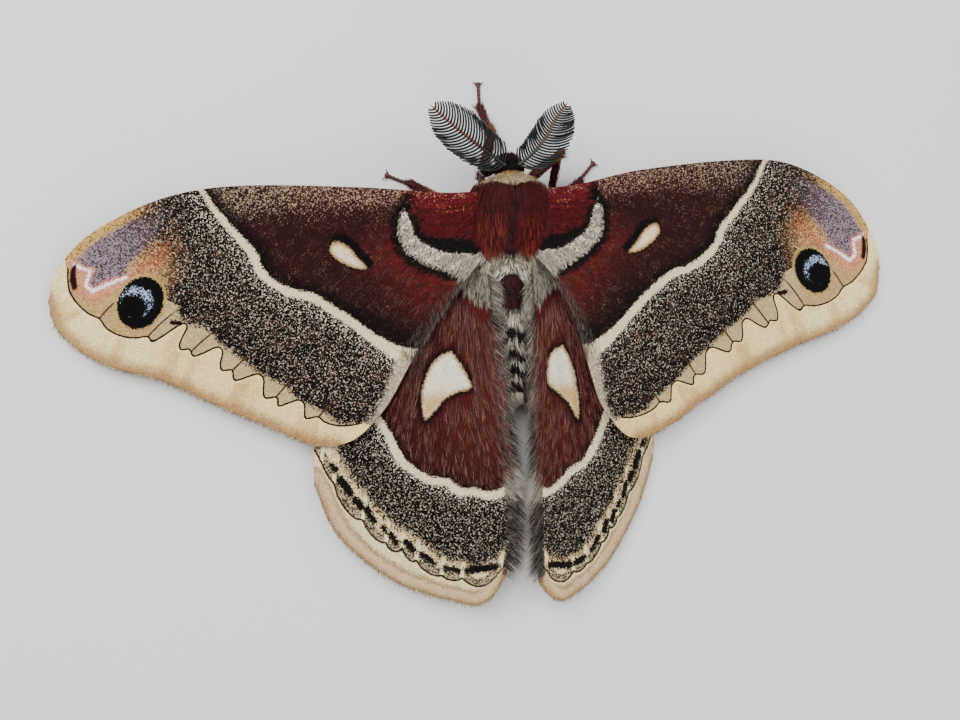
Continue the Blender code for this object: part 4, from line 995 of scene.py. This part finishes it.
for seed, (name, plan) in enumerate(coatPatches.items()):
    draw = np.random.default_rng(100 + seed)
    count = plan["count"]
    y = draw.uniform(plan["y"][1], plan["y"][0], count)
    if name == "hair_abdomen":  # a denser pale brush at the tail
        y[:tailBrush["count"]] = draw.uniform(*tailBrush["y"], tailBrush["count"])
    side = draw.choice((-1.0, 1.0), count)
    lean = np.radians(draw.uniform(plan["angle"][0], plan["angle"][1], count))
    angle = side * lean
    rise = plan["rise"] * draw.uniform(0.6, 1.2, count)
    out, along, up = plan["lie"]
    outwards = out * np.sin(angle)
    if name == "hair_collar":  # the collar dips back between the two lobes
        y -= 0.35 * np.exp(-(lean / 0.30) ** 2) + 0.7 * smooth(lean, 0.5, 1.6)
    if name == "hair_saddle":  # a wine diamond
        angle = side * lean * smooth(2.0 - np.abs(y + 8.1), 0, 1.5)
    if name in ("hair_lobes", "hair_ember"):  # each lobe is a mound, fanned out behind
        rise *= 0.15 + 1.0 * smooth(lean, 0.12, 0.55)
        outwards = side * (0.62 * (lean - 0.50) + 0.05)
    if name == "hair_rear":  # two streams, parted by the saddle
        outwards += side * 0.42 * smooth(0.9 - lean, 0, 0.5)
        y = np.where(lean < 0.40, np.maximum(y, -5.2 + 0.5 * draw.uniform(-1, 1, count)), y)
        rise *= 0.30 + 0.70 * smooth(lean, 0.1, 0.8)
    share = bodyShare(y)
    roots = bodyPoint(share, angle, bodyPlan["depth"])
    normals = bodyNormal(share, angle)
    if name == "hair_abdomen":
        rise[y < tailBrush["y"][1]] *= 2.0
    lies = np.stack([outwards + draw.normal(0, 0.13, count), along + draw.normal(0, 0.05, count),
                     up + draw.normal(0, 0.06, count)], -1)
    lies -= normals * (lies * normals).sum(1, keepdims=True) * 0.7
    base = bodyColour(roots)
    rootColours = np.tile(coatColours[plan["root"]], (count, 1)) if plan["root"] else base * 0.8
    tipColours = np.tile(coatColours[plan["tip"]], (count, 1)) if plan["tip"] else base * 1.1
    if name == "hair_collar":  # brownish towards its middle
        tipColours += (0.55 * np.exp(-((y - 5.9) / 0.5) ** 2))[:, None] * (coatColours["straw"] - tipColours)
    if name == "hair_flank_grey":  # dark and light strands mixed
        tipColours[draw.uniform(0, 1, count) < 0.30 + 0.36 * smooth(-y, 8.5, 11.5)] = coatColours["soot"]
        rootColours[y > -9.0] = coatColours["dust"]
    if name == "hair_head":  # reddish face
        tipColours[y > 8.2] = coatColours["rust"]
    if name == "hair_saddle":
        tipColours[draw.uniform(0, 1, count) < 0.45] = coatColours["soot"]
    if name == "hair_abdomen":  # strands of the next row lie over each bar
        chance = draw.uniform(0, 1, count)
        tipColours[chance < 0.24] = coatColours["smoke"]
        rootColours[chance < 0.36] = coatColours["soot"]
        tipColours[(chance > 0.95) | (y < tailBrush["y"][1])] = coatColours["snow"]
        rootColours[y < tailBrush["y"][1]] = coatColours["cream"]
    length = plan["length"] * draw.uniform(0.7, 1.15, count)
    if name in ("hair_collar", "hair_lobes"):  # fuller at the shoulders
        length *= 1 + (0.9 if name == "hair_collar" else 0.35) * smooth(lean, 0.6, 1.3)
        rise *= 1 + 0.35 * smooth(lean, 0.7, 1.4)
    if name == "hair_rear":  # short down the middle, over the wine saddle
        length *= 0.34 + 0.66 * smooth(lean - 0.10 * smooth(-y, 4.0, 5.0), 0.05, 0.60)
        chance = draw.uniform(0, 1, count)  # wholly dark strands between pale ones
        tipColours[chance > 0.75] = coatColours["cream"]
        tipColours[chance < 0.26] = coatColours["smoke"]
        rootColours[chance > 0.30] = coatColours["snow"] * 0.72
        # roots just behind the lobes are soot too: a painted shadow under the rear ends of the lobes
        rootColours[(chance < 0.30) | (y > -3.0)] = coatColours["soot"]
    if name in ("hair_abdomen", "hair_flank_grey"):
        length *= 0.85 + 0.15 * smooth(-y, 19.0, 14.0) + 0.45 * smooth(-y, 21.3, 22.8)
    width = plan["width"] * draw.uniform(0.8, 1.3, count)
    bakePlaces = np.stack([0.02 + 0.96 * share, 0.5 + 0.48 * angle / math.pi], -1)
    plantTufts(name, draw, roots, normals, lies, length, width, rise, rootColours, tipColours, bakePlaces,
               curve=0.10, clump=plan["clump"])
    print("coat planted:", name, count)


# Hair and fringes on the wings: where it is rooted in u and v, how it lies and its colours
wingHair = {
    "hair_hind_red": dict(wing="hindwing", u=(0.02, 0.67), v=(0.12, 1.0), count=9000, length=4.4,
                          width=0.06, rise=0.35, lie=(0.0, -1.0), root="2a0b0b",
                          tips=("8a3c33", "9a554b", "66281f", "b88679"), lean=0.45, clump=0.5),
    "hair_hind_fringe": dict(wing="hindwing", u=(0.05, 0.93), v=(0.92, 1.0), count=5000, length=3.0,
                             width=0.05, rise=0.35, lie=(-0.75, -0.66), root="0e0a08",
                             tips=("1c1613", "2e2622", "b0a396"), lean=0.3, clump=0.35),
    "hair_hind_white": dict(wing="hindwing", u=(0.0, 0.13), v=(0.0, 1.0), count=3400, length=2.3,
                            width=0.045, rise=0.4, lie=(0.10, -1.0), root="3e352c",
                            tips=("snow", "e6dac4", "6e6254"), lean=0.0, clump=0.6),
    "hair_fore_grey": dict(wing="forewing", u=(0.04, 0.52), v=(0.925, 1.0), count=1300, length=1.5,
                           width=0.03, rise=0.12, lie=(0.05, -1.0), root="1d0d0c",
                           tips=("3a2a27", "7d7067", "a89c8e"), lean=0.8, clump=0.4),
    "hair_fore_down": dict(wing="forewing", u=(0.14, 0.50), v=(0.30, 0.97), count=1500, length=2.0,
                           width=0.045, rise=0.25, lie=(0.80, -0.60), root="3a1011",
                           tips=("4a1917", "5a2120", "80605a"), lean=0.0, clump=0.4),
    "hair_fore_base": dict(wing="forewing", u=(0.0, 0.16), v=(0.14, 0.80), count=3600, length=1.5,
                           width=0.075, rise=0.30, lie=(0.85, -0.55), root="crimson",
                           tips=("6a1219", "7d1a22"), lean=0.0, clump=0.4),
    "hair_fore_black": dict(wing="forewing", u=(0.0, 0.26), v=(0.20, 1.0), count=5000, length=1.2,
                            width=0.075, rise=0.25, lie=(0.75, -0.66), root="soot",
                            tips=("soot", "1d0d0c"), lean=0.0, clump=0.3),
    "hair_fore_white": dict(wing="forewing", u=(0.0, 0.26), v=(0.22, 1.0), count=7000, length=1.15,
                            width=0.065, rise=0.30, lie=(0.62, -0.78), root="a0937f",
                            tips=("fbf1dc", "f6ead2", "8a7d6a"), lean=0.0, clump=0.4),
}


def colourOf(name):
    return coatColours[name] if name in coatColours else np.array(hexColour(name)[:3])


def wingFrame(wing, u, v):
    # places on the upper surface and which way is up there
    step = 2e-3
    du = wing.surface(np.clip(u + step, 0, 1), v) - wing.surface(np.clip(u - step, 0, 1), v)
    dv = wing.surface(u, np.clip(v + step, 0, 1)) - wing.surface(u, np.clip(v - step, 0, 1))
    normals = unit(np.cross(du, dv))
    return wing.surface(u, v), normals * np.sign(normals[:, 2:3])


def foreDownKept(name, wing, u, v, place, length, lie):
    # the down keeps to the colours of the scales under it, at its root and where it lies
    fields = forewingFields(wing, u, v, place)
    ahead = forewingFields(wing, u, v, place + np.array([wing.side * lie[0], lie[1]]) * length[:, None] * 0.8)
    if name == "hair_fore_white":
        return (fields["band"] < 0.15) & ((ahead["band"] < 0.75) | (v > 0.86)) | ((v > 0.88) & (u < 0.13))
    if name == "hair_fore_black":
        kept = (fields["bandShade"] < 0.9) & (fields["band"] > 0.15) & (ahead["band"] > 0.0)
        return kept & ((v < 0.88) | (u > 0.13))
    if name == "hair_fore_base":
        return (fields["basal"] > 0.6) & (fields["bandShade"] > 0.9)
    kept = (fields["basal"] < 0.2) & (fields["pmShade"] < -2.3) & (fields["bandShade"] > 1.1)
    for row in (fields, ahead):
        kept &= (row["spot"] > 0.4) & (row["shade"] > 0.6)
    return kept


for seed, (name, plan) in enumerate(wingHair.items()):
    for sideName in sides:
        wing = wings[plan["wing"] + "_" + sideName]
        draw = np.random.default_rng(300 + 10 * seed + (wing.side > 0))
        count = plan["count"]
        u = draw.uniform(*plan["u"], count)
        depth = draw.uniform(0, 1, count) ** (1 + plan["lean"])  # denser towards the inner margin
        v = plan["v"][1] - (plan["v"][1] - plan["v"][0]) * depth
        length = plan["length"] * draw.uniform(0.5, 1.15, count)
        outwards = np.full(count, wing.side * plan["lie"][0])
        place = wing.flat(u, v)
        kept = np.full(count, True)
        if name == "hair_hind_red":  # short at the rear, drawn to the margin, none over the crescent
            length *= 1 - 0.45 * smooth(u, 0.3, 0.66)
            kept = (hindwingFields(wing, u, v, place)["pm"] < -0.75 * length) & (u > 0.10 + 0.08 * v)
            outwards = wing.side * np.interp(v, (0.2, 0.70, 0.85, 1.0), (0.45, 0.08, -0.12, -0.45))
            crescentLine = smoothLine(hindwingMarks["spotRight" if wing.side > 0 else "spot"], 5)
            for share in (0.0, 0.5, 1.0):
                ahead = place + np.stack([outwards, -np.ones(count)], -1) * length[:, None] * share * 0.9
                kept &= edgeOf(ahead, crescentLine) > 0.25
        elif name == "hair_hind_fringe":
            length *= 1.25 if wing.side > 0 else 1.0
        elif name == "hair_hind_white":  # a ragged end
            length *= 1 + 0.45 * np.sin(9.0 * place[:, 0]) * smooth(u, 0.05, 0.11)
        elif name != "hair_fore_grey":
            kept = foreDownKept(name, wing, u, v, place, length, plan["lie"])
            if name == "hair_fore_white":
                length *= 0.8 + 0.9 * smooth(v, 0.75, 0.95)
        u, v, length, outwards = (a[kept] for a in (u, v, length, outwards))
        count = len(u)
        roots, normals = wingFrame(wing, u, v)
        lies = np.stack([outwards + draw.normal(0, 0.10, count), plan["lie"][1] + draw.normal(0, 0.09, count),
                         np.zeros(count)], -1)
        lies -= normals * (lies * normals).sum(1, keepdims=True)
        tips = np.array([colourOf(tip) for tip in plan["tips"]])
        tipColours = tips[draw.integers(len(tips), size=count)]
        if name == "hair_hind_fringe":  # pale at the base and where the white line runs out
            pale = 0.85 * smooth(0.055 - np.abs(u - 0.665), 0, 0.03)
            pale = np.maximum(pale, 0.55 * smooth(0.21 - u, 0, 0.10))
            pale = np.maximum(pale, 0.18 * smooth(0.5 - u, 0, 0.1))
            tipColours[pale > draw.uniform(0, 1.0, count)] = colourOf("e2d6c0")
        width = plan["width"] * draw.uniform(0.8, 1.3, count)
        rise = plan["rise"] * draw.uniform(0.4, 1.2, count)
        bakePlaces = np.stack([0.01 + 0.98 * u, 0.01 + 0.98 * v], -1)
        plantTufts(name + "_" + sideName, draw, roots, normals, lies, length, width, rise,
                   colourOf(plan["root"]), tipColours, bakePlaces, sink=0.1, curve=0.12,
                   clump=plan["clump"])
        print("wing hair planted:", name, sideName, count)


# Cilia: a short dense fringe along each outer margin
ciliaPlan = dict(perMm=11, length=0.75, width=0.12, rootAt=0.997, root="b49a75", tip="8c7355")
for wing in wings.values():
    draw = np.random.default_rng(500 + len(wing.name) + (wing.side > 0))
    count = int(lineLength(wing.outer) * ciliaPlan["perMm"])
    v = (np.arange(count) + draw.uniform(0, 1, count)) / count
    roots, normals = wingFrame(wing, np.full(count, ciliaPlan["rootAt"]), v)
    inside = wing.surface(np.full(count, 0.95), v)
    lies = unit(roots - inside) + draw.normal(0, 0.12, (count, 3))
    length = ciliaPlan["length"] * draw.uniform(0.6, 1.2, count)
    bakePlaces = np.stack([np.full(count, 0.985), 0.01 + 0.98 * v], -1)
    plantTufts("cilia_" + wing.name, draw, roots, normals, lies, length, ciliaPlan["width"], 0.0,
               colourOf(ciliaPlan["root"]), colourOf(ciliaPlan["tip"]), bakePlaces,
               shape=shortShape, sink=0.05)
print("cilia planted")


# Eyes: dark compound eyes with a fine honeycomb of facets
# real facets are about 0.03 mm, they are drawn coarser to show
eyePlan = dict(segments=48, rings=32, facet=0.10, flattened=0.92)
eyeMaterial, tree, shader = newMaterial("compoundEye", Roughness=0.18, IOR=1.45, Coat_Weight=0.6,
                                        Coat_Roughness=0.08)
place = addNode(tree, "TexCoord").outputs["Object"]
facets = addNode(tree, "TexVoronoi", {"Vector": place},
                 {"Scale": 1 / (eyePlan["facet"] * mm), "Randomness": 0.35})
glint = addNode(tree, "Mix", {0: facets.outputs["Distance"]},
                {6: hexColour("2a1c14"), 7: hexColour("050303")}, data_type="RGBA")
tree.links.new(glint.outputs[2], shader.inputs["Base Color"])
dimple = addNode(tree, "Bump", {"Height": facets.outputs["Distance"]},
                 {"Strength": 0.4, "Distance": 0.02 * mm}, invert=True)
tree.links.new(dimple.outputs["Normal"], shader.inputs["Normal"])
for sideName, side in sides.items():
    clearSelection()
    bpy.ops.mesh.primitive_uv_sphere_add(segments=eyePlan["segments"], ring_count=eyePlan["rings"],
                                         radius=eyeRadius)
    eye = bpy.context.object
    ball = readPoints(eye.data)
    ball[:, 1] *= eyePlan["flattened"]
    placePoints(eye.data, ball + np.array([side * eyeCentre[0], eyeCentre[1], eyeCentre[2]]))
    eye.data.uv_layers.active.name = "OFBake"
    finishPiece(eye, "compound_eye_" + sideName, [eyeMaterial], ("eye_" + sideName,))
print("eyes made")


# Round limbs: a grid rolled up into rings along a route, closed at both ends

def makeTube(route, widths, heights, around):
    clearSelection()
    bpy.ops.mesh.primitive_grid_add(x_subdivisions=len(route) - 1, y_subdivisions=around, size=2)
    piece = bpy.context.object
    corner = readPoints(piece.data)
    k = np.rint((corner[:, 0] + 1) / 2 * (len(route) - 1)).astype(int)
    angle = (corner[:, 1] + 1) * math.pi
    ahead = unit(np.gradient(route, axis=0))
    across = unit(np.cross(ahead, np.array([0.0, 0.0, 1.0]) + 1e-6))
    above = np.cross(across, ahead)
    points = (route[k] + across[k] * (np.cos(angle) * widths[k])[:, None]
              + above[k] * (np.sin(angle) * heights[k])[:, None])
    placePoints(piece.data, points)
    piece.data.uv_layers.active.name = "OFBake"
    bpy.ops.object.mode_set(mode="EDIT")
    bpy.ops.mesh.select_all(action="SELECT")
    bpy.ops.mesh.remove_doubles(threshold=1e-7)
    bpy.ops.mesh.select_all(action="DESELECT")
    bpy.ops.mesh.select_non_manifold()
    bpy.ops.mesh.fill_holes(sides=0)
    turnFacesOut(piece)
    return piece


# Feelers: a jointed shaft with four rows of curved rays, each ray with a comb of setae
feelerPlan = dict(segments=27, shaft=0.22, reach=3.4, ray=0.152, rayRings=7, setaLength=0.17, setaWidth=0.035,
                  setae=8)
# the right feeler as x, y, z
feelerRoute = ((1.0, 7.7, 9.3), (1.2, 7.9, 9.75), (2.5, 8.8, 10.3), (4.1, 10.1, 10.6), (5.6, 11.6, 10.7),
               (6.9, 13.1, 10.6), (8.1, 14.5, 10.5), (9.25, 15.7, 10.4))
rayRows = {  # side of the shaft, tilt up in degrees, size, sweep forwards
    "left": ((1, 8.0, 1.0, 0.72), (-1, 36.0, 1.0, 0.72), (1, 1.0, 0.98, 0.72), (-1, 30.0, 0.93, 0.72)),
    "right": ((1, 8.0, 1.0, 0.72), (-1, 16.0, 0.74, 0.46), (1, 1.0, 0.98, 0.72), (-1, 10.0, 0.70, 0.46)),
}
hornMaterial = tintedMaterial("antennaHorn", 0.5, 0.30, Roughness=0.45, IOR=1.54)[0]


def rayPath(line, side, share, row, tilt, size, sweep, t, draw):
    # the middle line of one ray, from the shaft outwards and then bent forwards
    plan = feelerPlan
    base = alongLine(line, np.array([share]))[0]
    ahead = unit(alongLine(line, np.array([min(share + 0.03, 1.0)]))[0] - base)
    outwards = unit(side * np.array([ahead[1], -ahead[0], 0.0]))
    angle = math.radians(tilt + draw.normal(0, 1.5))
    aim = outwards * row * math.cos(angle) + np.array([0, 0, math.sin(angle)])
    length = plan["reach"] * size * math.sin(math.pi * (0.27 + 0.60 * share)) * draw.uniform(0.96, 1.04)
    length *= 0.30 + 0.70 * (1 - share ** 5)
    return (base + aim * length * (t - 0.10 * t ** 3)[:, None]
            + ahead * length * (sweep * (0.30 * t + 0.70 * t ** 2.2))[:, None])


def rayFaces(rings):
    # triangles of one ray: rings of four points, a cap at both ends
    faces = []
    last = (rings - 1) * 4
    for first in range(0, last, 4):
        for s in range(4):
            a = first + s
            b = first + (s + 1) % 4
            faces += [(a, a + 4, b), (b, a + 4, b + 4)]
    for s in range(4):
        faces += [(s, (s + 1) % 4, rings * 4), (last + (s + 1) % 4, last + s, rings * 4 + 1)]
    return np.array(faces)


def makeFeeler(sideName, side):
    plan = feelerPlan
    draw = np.random.default_rng(700 + (side > 0))
    bend = bodyPlan["headBend"]
    line = smoothLine([(side * x + bend * (1 - smooth(y, 8.0, 15.0)), y, z) for x, y, z in feelerRoute], 10)
    shares = np.linspace(0, 1, 3 * plan["segments"] + 1)
    ringed = 1 + 0.10 * np.cos(np.arange(len(shares)) * 2 * math.pi / 3)
    radius = plan["shaft"] * (1 - 0.55 * shares) * ringed * (1 + 0.8 * smooth(0.08 - shares, 0, 0.08))
    radius[-1] *= 0.3
    shaft = makeTube(alongLine(line, shares), radius, radius, 10)
    axis = line[-1] - line[0]
    reach = np.clip((readPoints(shaft.data) / mm - shift - line[0]) @ axis / np.sum(axis ** 2), 0, 1)
    dark = colourOf("120a07")
    setTint(shaft.data, dark + smooth(reach, 0.15, 0.95)[:, None] * (colourOf("9a4a1c") - dark))
    finishPiece(shaft, "feeler_shaft_" + sideName, [hornMaterial])
    # rays: rings of four points along their curve, and the roots of the setae on both edges
    t = np.linspace(0, 1, plan["rayRings"])
    ring = np.array([(math.cos(a), math.sin(a)) for a in np.arange(4) * math.pi / 2])
    thick = plan["ray"] * (1 - 0.36 * t)
    thick[0] *= 1.2
    rays = []
    setaRows = []
    for k in range(plan["segments"]):
        share = (k + 1) / (plan["segments"] + 1.6)
        for row in rayRows[sideName]:
            path = rayPath(line, side, share, *row, t, draw)
            walk = unit(np.gradient(path, axis=0))
            sideways = unit(np.cross(walk, [0, 0, 1]))
            above = np.cross(sideways, walk)
            loops = (path[:, None] + sideways[:, None] * ring[None, :, :1] * thick[:, None, None]
                     + above[:, None] * ring[None, :, 1:] * thick[:, None, None])
            rays.append(np.vstack([loops.reshape(-1, 3), path[0], path[-1] + walk[-1] * 0.05]))
            for s in range(plan["setae"]):
                q = 0.12 + 0.86 * s / plan["setae"]
                here = np.array([np.interp(q, t, path[:, c]) for c in range(3)])
                j = min(int(q * (len(t) - 1)), len(t) - 2)
                setaRows += [(here, walk[j], sideways[j] * way, share) for way in (-1, 1)]
    perRay = len(rays[0])
    corners = rayFaces(len(t))[None] + perRay * np.arange(len(rays))[:, None, None]
    piece = meshOf("feeler_rays_" + sideName, np.vstack(rays), corners.reshape(-1, 3))
    turnFacesOut(piece)
    rayIndex = np.arange(perRay * len(rays)) // perRay
    along = np.tile(np.linspace(0, 1, perRay), len(rays))
    setTint(piece.data, np.tile(colourOf("060504"), (len(rayIndex), 1)))
    setBakeMap(piece.data, np.stack([0.01 + 0.97 * (rayIndex // 4) / plan["segments"] + 0.003 * along,
                                     0.1 + 0.2 * (rayIndex % 4)], -1))
    finishPiece(piece, "feeler_rays_" + sideName, [hornMaterial], ("antenna_" + sideName,))
    here, walk, way, share = (np.array(column) for column in zip(*setaRows))
    length = plan["setaLength"] * draw.uniform(0.7, 1.2, len(here))
    bakePlaces = np.stack([0.01 + 0.97 * share, np.full(len(here), 0.95)], -1)
    plantTufts("feeler_setae_" + sideName, draw, here, unit(np.cross(walk, way)), unit(way + walk * 0.8),
               length, plan["setaWidth"], 0.0, colourOf("0a0807"), colourOf("1c1613"), bakePlaces,
               shape=shortShape, sink=0.0)


for sideName, side in sides.items():
    makeFeeler(sideName, side)
print("feelers made")


# Legs: hip, thigh, shin, a five-jointed foot with pad and claws, and shaggy scales
legPlan = dict(footHalf=0.32, joints=5, ringsPerPart=8, pad=0.34, claw=0.95, clawRadius=0.12,
               clawSpread=52.0, spurRadius=0.09, spurAt=0.93, hair=1600, hairLength=1.75, hairWidth=0.16,
               hairRise=0.28, kneeAt=0.60)
legRoutes = {  # x, y, z and half width: root, end of the hip, knee, ankle, then heel and toe on the floor
    "foreleg_left": ((-1.6, 5.2, 5.4, 0.75), (-2.0, 7.4, 3.2, 0.62), (-0.3, 13.2, 4.5, 0.50),
                     (-0.95, 18.0, 1.0, 0.34), (-0.95, 18.8, 0, 0.28), (-0.9, 21.6, 0, 0.26)),
    "foreleg_right": ((1.6, 5.2, 5.4, 0.75), (3.9, 6.4, 3.6, 0.62), (9.2, 10.2, 4.3, 0.50),
                      (9.1, 7.4, 1.1, 0.34), (9.2, 6.6, 0, 0.28), (9.9, 3.0, 0, 0.26)),
    "midleg_left": ((-2.6, 1.8, 4.6, 0.75), (-3.6, 2.4, 3.0, 0.62), (-7.6, 4.2, 4.8, 0.50),
                    (-11.4, 7.4, 1.1, 0.34), (-12.1, 7.8, 0, 0.28), (-14.8, 9.0, 0, 0.26)),
    "midleg_right": ((2.6, 1.8, 4.6, 0.75), (3.6, 2.4, 3.0, 0.62), (8.6, 3.6, 4.8, 0.50),
                     (12.9, 6.9, 1.1, 0.34), (13.4, 7.5, 0, 0.28), (15.5, 9.7, 0, 0.26)),
    "hindleg_left": ((-2.6, -2.0, 4.6, 0.75), (-3.4, -2.8, 3.0, 0.62), (-6.4, -7.0, 4.6, 0.50),
                     (-9.4, -13.4, 1.1, 0.34), (-9.8, -14.2, 0, 0.28), (-11.6, -18.8, 0, 0.26)),
    "hindleg_right": ((2.6, -2.0, 4.6, 0.75), (3.4, -2.8, 3.0, 0.62), (6.4, -7.0, 4.6, 0.50),
                      (9.0, -13.4, 1.1, 0.34), (9.4, -14.2, 0, 0.28), (11.0, -18.8, 0, 0.26)),
}
legMaterial, tree, shader = newMaterial("legCuticle", Roughness=0.55, IOR=1.5)
place = addNode(tree, "TexCoord").outputs["Object"]
scaly = addNode(tree, "TexVoronoi", {"Vector": place}, {"Scale": 1 / (0.18 * mm)})
redness = addNode(tree, "Mix", {0: scaly.outputs["Distance"]},
                  {6: hexColour("5e1714"), 7: hexColour("260808")}, data_type="RGBA")
tree.links.new(redness.outputs[2], shader.inputs["Base Color"])
plates = addNode(tree, "Bump", {"Height": scaly.outputs["Distance"]},
                 {"Strength": 0.6, "Distance": 0.06 * mm}, invert=True)
tree.links.new(plates.outputs["Normal"], shader.inputs["Normal"])


def makeLeg(name):
    plan = legPlan
    rows = legRoutes[name]
    draw = np.random.default_rng(900 + sorted(legRoutes).index(name))
    upper = np.array([row[:3] for row in rows[:4]])
    half = np.array([row[3] for row in rows[:4]])
    heel, toe = (np.array([x, y, plan["footHalf"] * 0.9]) for x, y, _, _ in rows[4:])
    rings = []
    for k in range(3):  # hip, thigh and shin swell midway
        for share in np.linspace(0, 1, plan["ringsPerPart"] + 1)[:-1]:
            swell = (1 + 0.30 * math.sin(math.pi * share)) if k else 1.0
            wide = (half[k] + (half[k + 1] - half[k]) * share) * 0.90 * swell
            rings.append((upper[k] + (upper[k + 1] - upper[k]) * share, wide, wide))
    rings.append((upper[3], half[3] * 0.8, half[3] * 0.8))
    limbRings = len(rings)
    for k in range(plan["joints"]):
        for share, size in ((0.05, 0.72), (0.35, 0.86), (0.75, 1.0), (0.95, 0.8)):
            middle = heel + (toe - heel) * (k + share) / plan["joints"]
            rings.append((middle, rows[4][3] * size, plan["footHalf"] * size * 0.95))
    ahead = unit(toe - heel)
    for reach, size in ((0.05, 1.1), (0.25, 1.35), (0.45, 1.0), (0.55, 0.4)):  # the pad under the claws
        rings.append((toe + ahead * reach, plan["pad"] * size, plan["footHalf"] * 0.7 * size / 1.1))
    route, width, height = (np.array(column) for column in zip(*rings))
    pieces = [makeTube(route, width, height, 14)]
    for way in (-1, 1):
        turn = math.radians(way * plan["clawSpread"])
        aim = np.array([ahead[0] * math.cos(turn) - ahead[1] * math.sin(turn),
                        ahead[0] * math.sin(turn) + ahead[1] * math.cos(turn), 0])
        claw = np.array([toe + aim * r * plan["claw"] + np.array([0, 0, z]) for r, z in
                         ((0.1, 0.02), (0.4, 0.10), (0.75, 0.06), (1.0, -0.06), (1.12, -0.16))])
        thick = plan["clawRadius"] * np.array([1.0, 0.9, 0.7, 0.4, 0.08])
        pieces.append(makeTube(claw, thick, thick, 8))
    shin = upper[3] - upper[2]
    along = unit(shin)
    for way in (-1, 1):  # spurs at the end of the shin
        out = unit(np.cross(along, [0, 0, 1])) * way
        base = upper[2] + shin * plan["spurAt"]
        spur = np.array([base + (along * 0.9 + out * 0.5) * s for s in (0.0, 0.3, 0.6, 0.85, 1.0)])
        thick = plan["spurRadius"] * np.array([1.0, 0.9, 0.7, 0.4, 0.05])
        pieces.append(makeTube(spur, thick, thick, 6))
    selectOnly(*pieces)
    bpy.ops.object.join()
    finishPiece(pieces[0], "limb_" + name, [legMaterial], (name,))
    # scales stand off the thigh and shin, shaggiest on the shin
    count = plan["hair"]
    line = route[:limbRings]
    share = draw.uniform(0.18, 1.0, count)
    roots = alongLine(line, share)
    along = unit(alongLine(line, np.minimum(share + 0.02, 1)) - alongLine(line, np.maximum(share - 0.02, 0)))
    spin = draw.uniform(0, 2 * math.pi, count)
    across = unit(np.cross(along, np.array([0, 0, 1.0])))
    normals = across * np.cos(spin)[:, None] + np.cross(across, along) * np.sin(spin)[:, None]
    roots = roots + normals * np.interp(share, (0, 1), (0.5, 0.25))[:, None]
    # near the floor none points down
    normals[:, 2] = np.where(roots[:, 2] < 1.2, np.abs(normals[:, 2]), normals[:, 2])
    lies = along + draw.normal(0, 0.12, (count, 3))
    knee = smooth(0.07 - np.abs(share - plan["kneeAt"]), 0, 0.03)[:, None]  # orange hair there
    tips = colourOf("5e1a16") + knee * (colourOf("a85a22") - colourOf("5e1a16"))
    length = plan["hairLength"] * draw.uniform(0.6, 1.3, count)
    width = plan["hairWidth"] * draw.uniform(0.7, 1.3, count)
    bakePlaces = np.stack([0.02 + 0.9 * share, spin / 7], -1)
    plantTufts("hair_" + name, draw, roots, unit(normals), lies, length, width, plan["hairRise"],
               colourOf("3c0c0c"), tips, bakePlaces, shape=shortShape, sink=0.2)


for name in legRoutes:
    makeLeg(name)
print("legs made")
